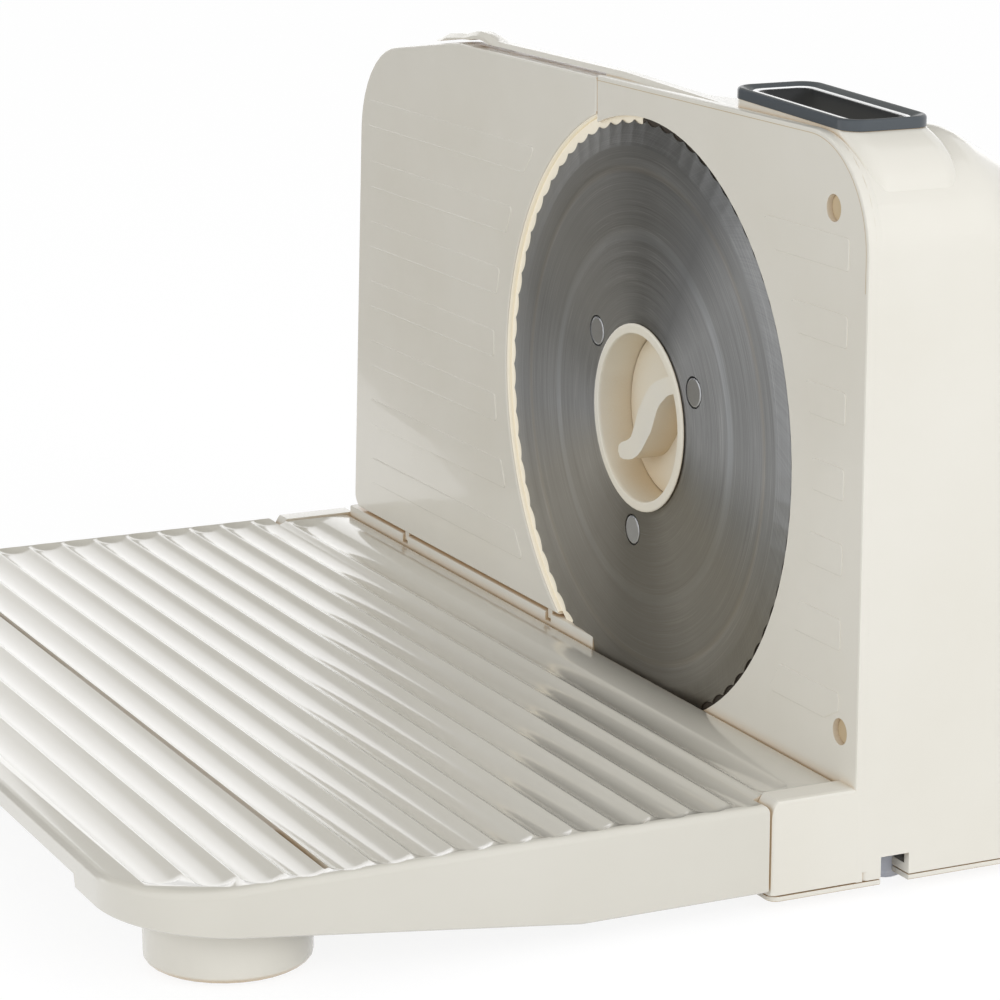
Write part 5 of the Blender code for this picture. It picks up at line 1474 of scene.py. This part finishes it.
@dataclass
class Studio:
    """The pale floor, the white surround, the screens, the soft lights and the camera."""

    floor_half: float = 3.0
    camera_place: Triple = (-0.42605, -0.93778, 0.32690)
    camera_turn: Triple = (76.2771, 0.0, -25.6050)
    lens: float = 129.5
    sensor: float = 36.0
    clip: float = 0.01
    shift: Pair = (0.0016, -0.0003)
    ambient: float = 0.60
    white: Colour = (1.0, 1.0, 1.0)
    paper: Tuple[Colour, Colour] = ((0.86, 0.86, 0.86), (0.84, 0.84, 0.84))
    floor_glow: float = 1.10
    floor_share: float = 0.80
    floor_roughness: float = 0.9
    floor_shine: float = 0.1
    paper_scale: float = 6.0
    lamp_colour: Colour = (0.96, 0.98, 1.0)
    lights: Tuple[Tuple[str, Triple, float, float], ...] = (
        ("key", (0.55, -1.25, 0.55), 0.9, 6.8),
        ("fill", (-2.1, -0.9, 0.7), 1.4, 15.0),
    )
    flags: Tuple[Tuple[str, Tuple[Triple, ...], Colour], ...] = (
        ("far_flag",
         ((-3.0, 2.4, 1.15), (3.0, 2.4, 1.15), (3.0, 2.4, 3.2), (-3.0, 2.4, 3.2)), (0.43, 0.42, 0.38)),
        ("low_screen",
         ((-3.0, 2.38, 0.05), (3.0, 2.38, 0.05), (3.0, 2.38, 1.12), (-3.0, 2.38, 1.12)), (1.45, 1.45, 1.45)),
        ("roof_flag",
         ((-3.0, 2.4, 3.2), (3.0, 2.4, 3.2), (3.0, -0.2, 3.2), (-3.0, -0.2, 3.2)), (0.43, 0.42, 0.38)),
        ("blade_flag",
         ((-1.15, 1.20, 0.0), (-0.35, 1.55, 0.0), (-0.35, 1.55, 1.2), (-1.15, 1.20, 1.2)),
         (0.10, 0.10, 0.10)),
        ("floor_flag",
         ((-0.32, 0.22, 0.002), (-0.04, 0.22, 0.002), (-0.35, 1.55, 0.002), (-1.15, 1.20, 0.002)),
         (0.13, 0.11, 0.07)),
    )

    def build(self) -> None:
        """Build the studio."""
        self.floor()
        self.surround()
        self.screens()
        self.lamps()
        self.camera()

    def flat(self, name: str, corners: Sequence[Sequence[float]], sheet: Sheet) -> bpy.types.Object:
        """Lay out one four-cornered face of the studio.

        Args:
            name: Its name.
            corners: Its corners.
            sheet: Its material.

        Returns:
            The object.
        """
        mesh = bpy.data.meshes.new(name)
        mesh.from_pydata(corners, [], [(0, 1, 2, 3)])
        mesh.materials.append(sheet.material)
        item = added(name, mesh)
        return item

    def floor(self) -> None:
        """Lay the floor, which keeps a faint shadow."""
        half = self.floor_half
        sheet = Sheet("studio_paper")
        sheet.dress(Base_Color=sheet.mix(*self.paper, sheet.noise(self.paper_scale)),
                    Roughness=self.floor_roughness, Specular_IOR_Level=self.floor_shine)
        glow = sheet.light("ShaderNodeEmission", self.white, self.floor_glow)
        share = sheet.rays("Is Camera Ray", "Is Glossy Ray") * self.floor_share
        sheet.surface(sheet.blend(sheet.shader.outputs[0], glow, share))
        corners = [(-half, -half, 0.0), (half, -half, 0.0), (half, half, 0.0), (-half, half, 0.0)]
        self.flat("studio_floor", corners, sheet)

    def surround(self) -> None:
        """Light the scene evenly and show white behind it."""
        world = bpy.data.worlds.new("studio")
        bpy.context.scene.world = world
        world.use_nodes = True
        board = Board(world.node_tree)
        board.tree.nodes.clear()
        soft = board.light("ShaderNodeBackground", self.white, self.ambient)
        bright = board.light("ShaderNodeBackground", self.white, 1.0)
        share = board.rays("Is Camera Ray", "Is Glossy Ray", "Is Transmission Ray")
        board.node("ShaderNodeOutputWorld", {}, {"Surface": board.blend(soft, bright, share)})

    def screens(self) -> None:
        """Hang the screens that only reflections show."""
        for name, corners, colour in self.flags:
            sheet = Sheet(name)
            sheet.surface(sheet.light("ShaderNodeEmission", colour, 1.0))
            item = self.flat(name, corners, sheet)
            item.visible_camera = False
            item.visible_diffuse = False
            item.visible_transmission = False
            item.visible_shadow = False

    def lamps(self) -> None:
        """Hang the soft lights."""
        for name, place, size, power in self.lights:
            lamp = bpy.data.lights.new(name, "AREA")
            lamp.shape = "SQUARE"
            lamp.size = size
            lamp.energy = power
            lamp.color = self.lamp_colour
            item = added(name, lamp)
            item.location = place
            aim = BLADE_CENTRE - Vector(place)
            item.rotation_euler = aim.to_track_quat("-Z", "Y").to_euler()
            item.visible_glossy = False

    def camera(self) -> None:
        """Set the camera at the photographed angle."""
        data = bpy.data.cameras.new("camera")
        data.sensor_width = self.sensor
        data.lens = self.lens
        data.shift_x, data.shift_y = self.shift
        data.clip_start = self.clip
        item = added("camera", data)
        item.location = self.camera_place
        item.rotation_euler = [math.radians(angle) for angle in self.camera_turn]
        bpy.context.scene.camera = item


@dataclass
class Slicer:
    """The whole slicer: the shells again with soft edges, and every other node with its finish."""

    frame: Dict[str, Any]
    shells: List[SoftEdges] = field(default_factory=lambda: [
        SoftEdges("front_panel", "housing", Finish.IVORY, 0.00025),
        SoftEdges("stop_plate", "stop", Finish.IVORY, 0.00025),
        SoftEdges("main_housing", "housing", Finish.IVORY, 0.0005),
        SoftEdges("blade_hub", "blade", Finish.BOWL, 0.0003),
        SoftEdges("blade_latch", "latch", Finish.BOWL, 0.0008, 3),
        SoftEdges("base_plate", "housing", Finish.IVORY, 0.0003),
        SoftEdges("thickness_knob", "knob", Finish.IVORY, 0.0005),
        SoftEdges("table_leg_near", "table", Finish.IVORY, 0.0005),
        SoftEdges("table_leg_far", "table", Finish.IVORY, 0.0005),
    ])
    finishes: Dict[str, Finish] = field(default_factory=lambda: {
        "cream_plastic": Finish.IVORY, "blade_steel": Finish.STEEL, "zinc_steel": Finish.ZINC,
        "nylon": Finish.NYLON, "grey_plastic": Finish.GREY, "dark_plastic": Finish.SLATE,
        "bright_trim": Finish.TRIM, "bronze": Finish.BRONZE, "soft_rubber": Finish.RUBBER})

    def build(self) -> None:
        """Build and dress every piece."""
        self.finish_nodes()
        for shell in self.shells:
            shell.build(self.frame)
        Blade().build()
        Table().build()
        Switch().build()
        Trim().build()

    def finish_nodes(self) -> None:
        """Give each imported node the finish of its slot."""
        slots = {entry["node"]: entry["material_slot"] for entry in self.frame["record"]["subparts"]}
        for name, item in self.frame["nodes"].items():
            finish = self.finishes[slots[name]]
            painted(item, finish)
            LOG.info("%s: %s", name, finish.value.name)


def main() -> None:
    """Build the scene."""
    logging.basicConfig(level=logging.INFO)
    for item in list(bpy.data.objects):
        bpy.data.objects.remove(item, do_unlink=True)
    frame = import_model()
    bpy.context.scene.view_settings.view_transform = "Standard"
    Slicer(frame).build()
    Studio().build()


if __name__ == "__main__":
    main()
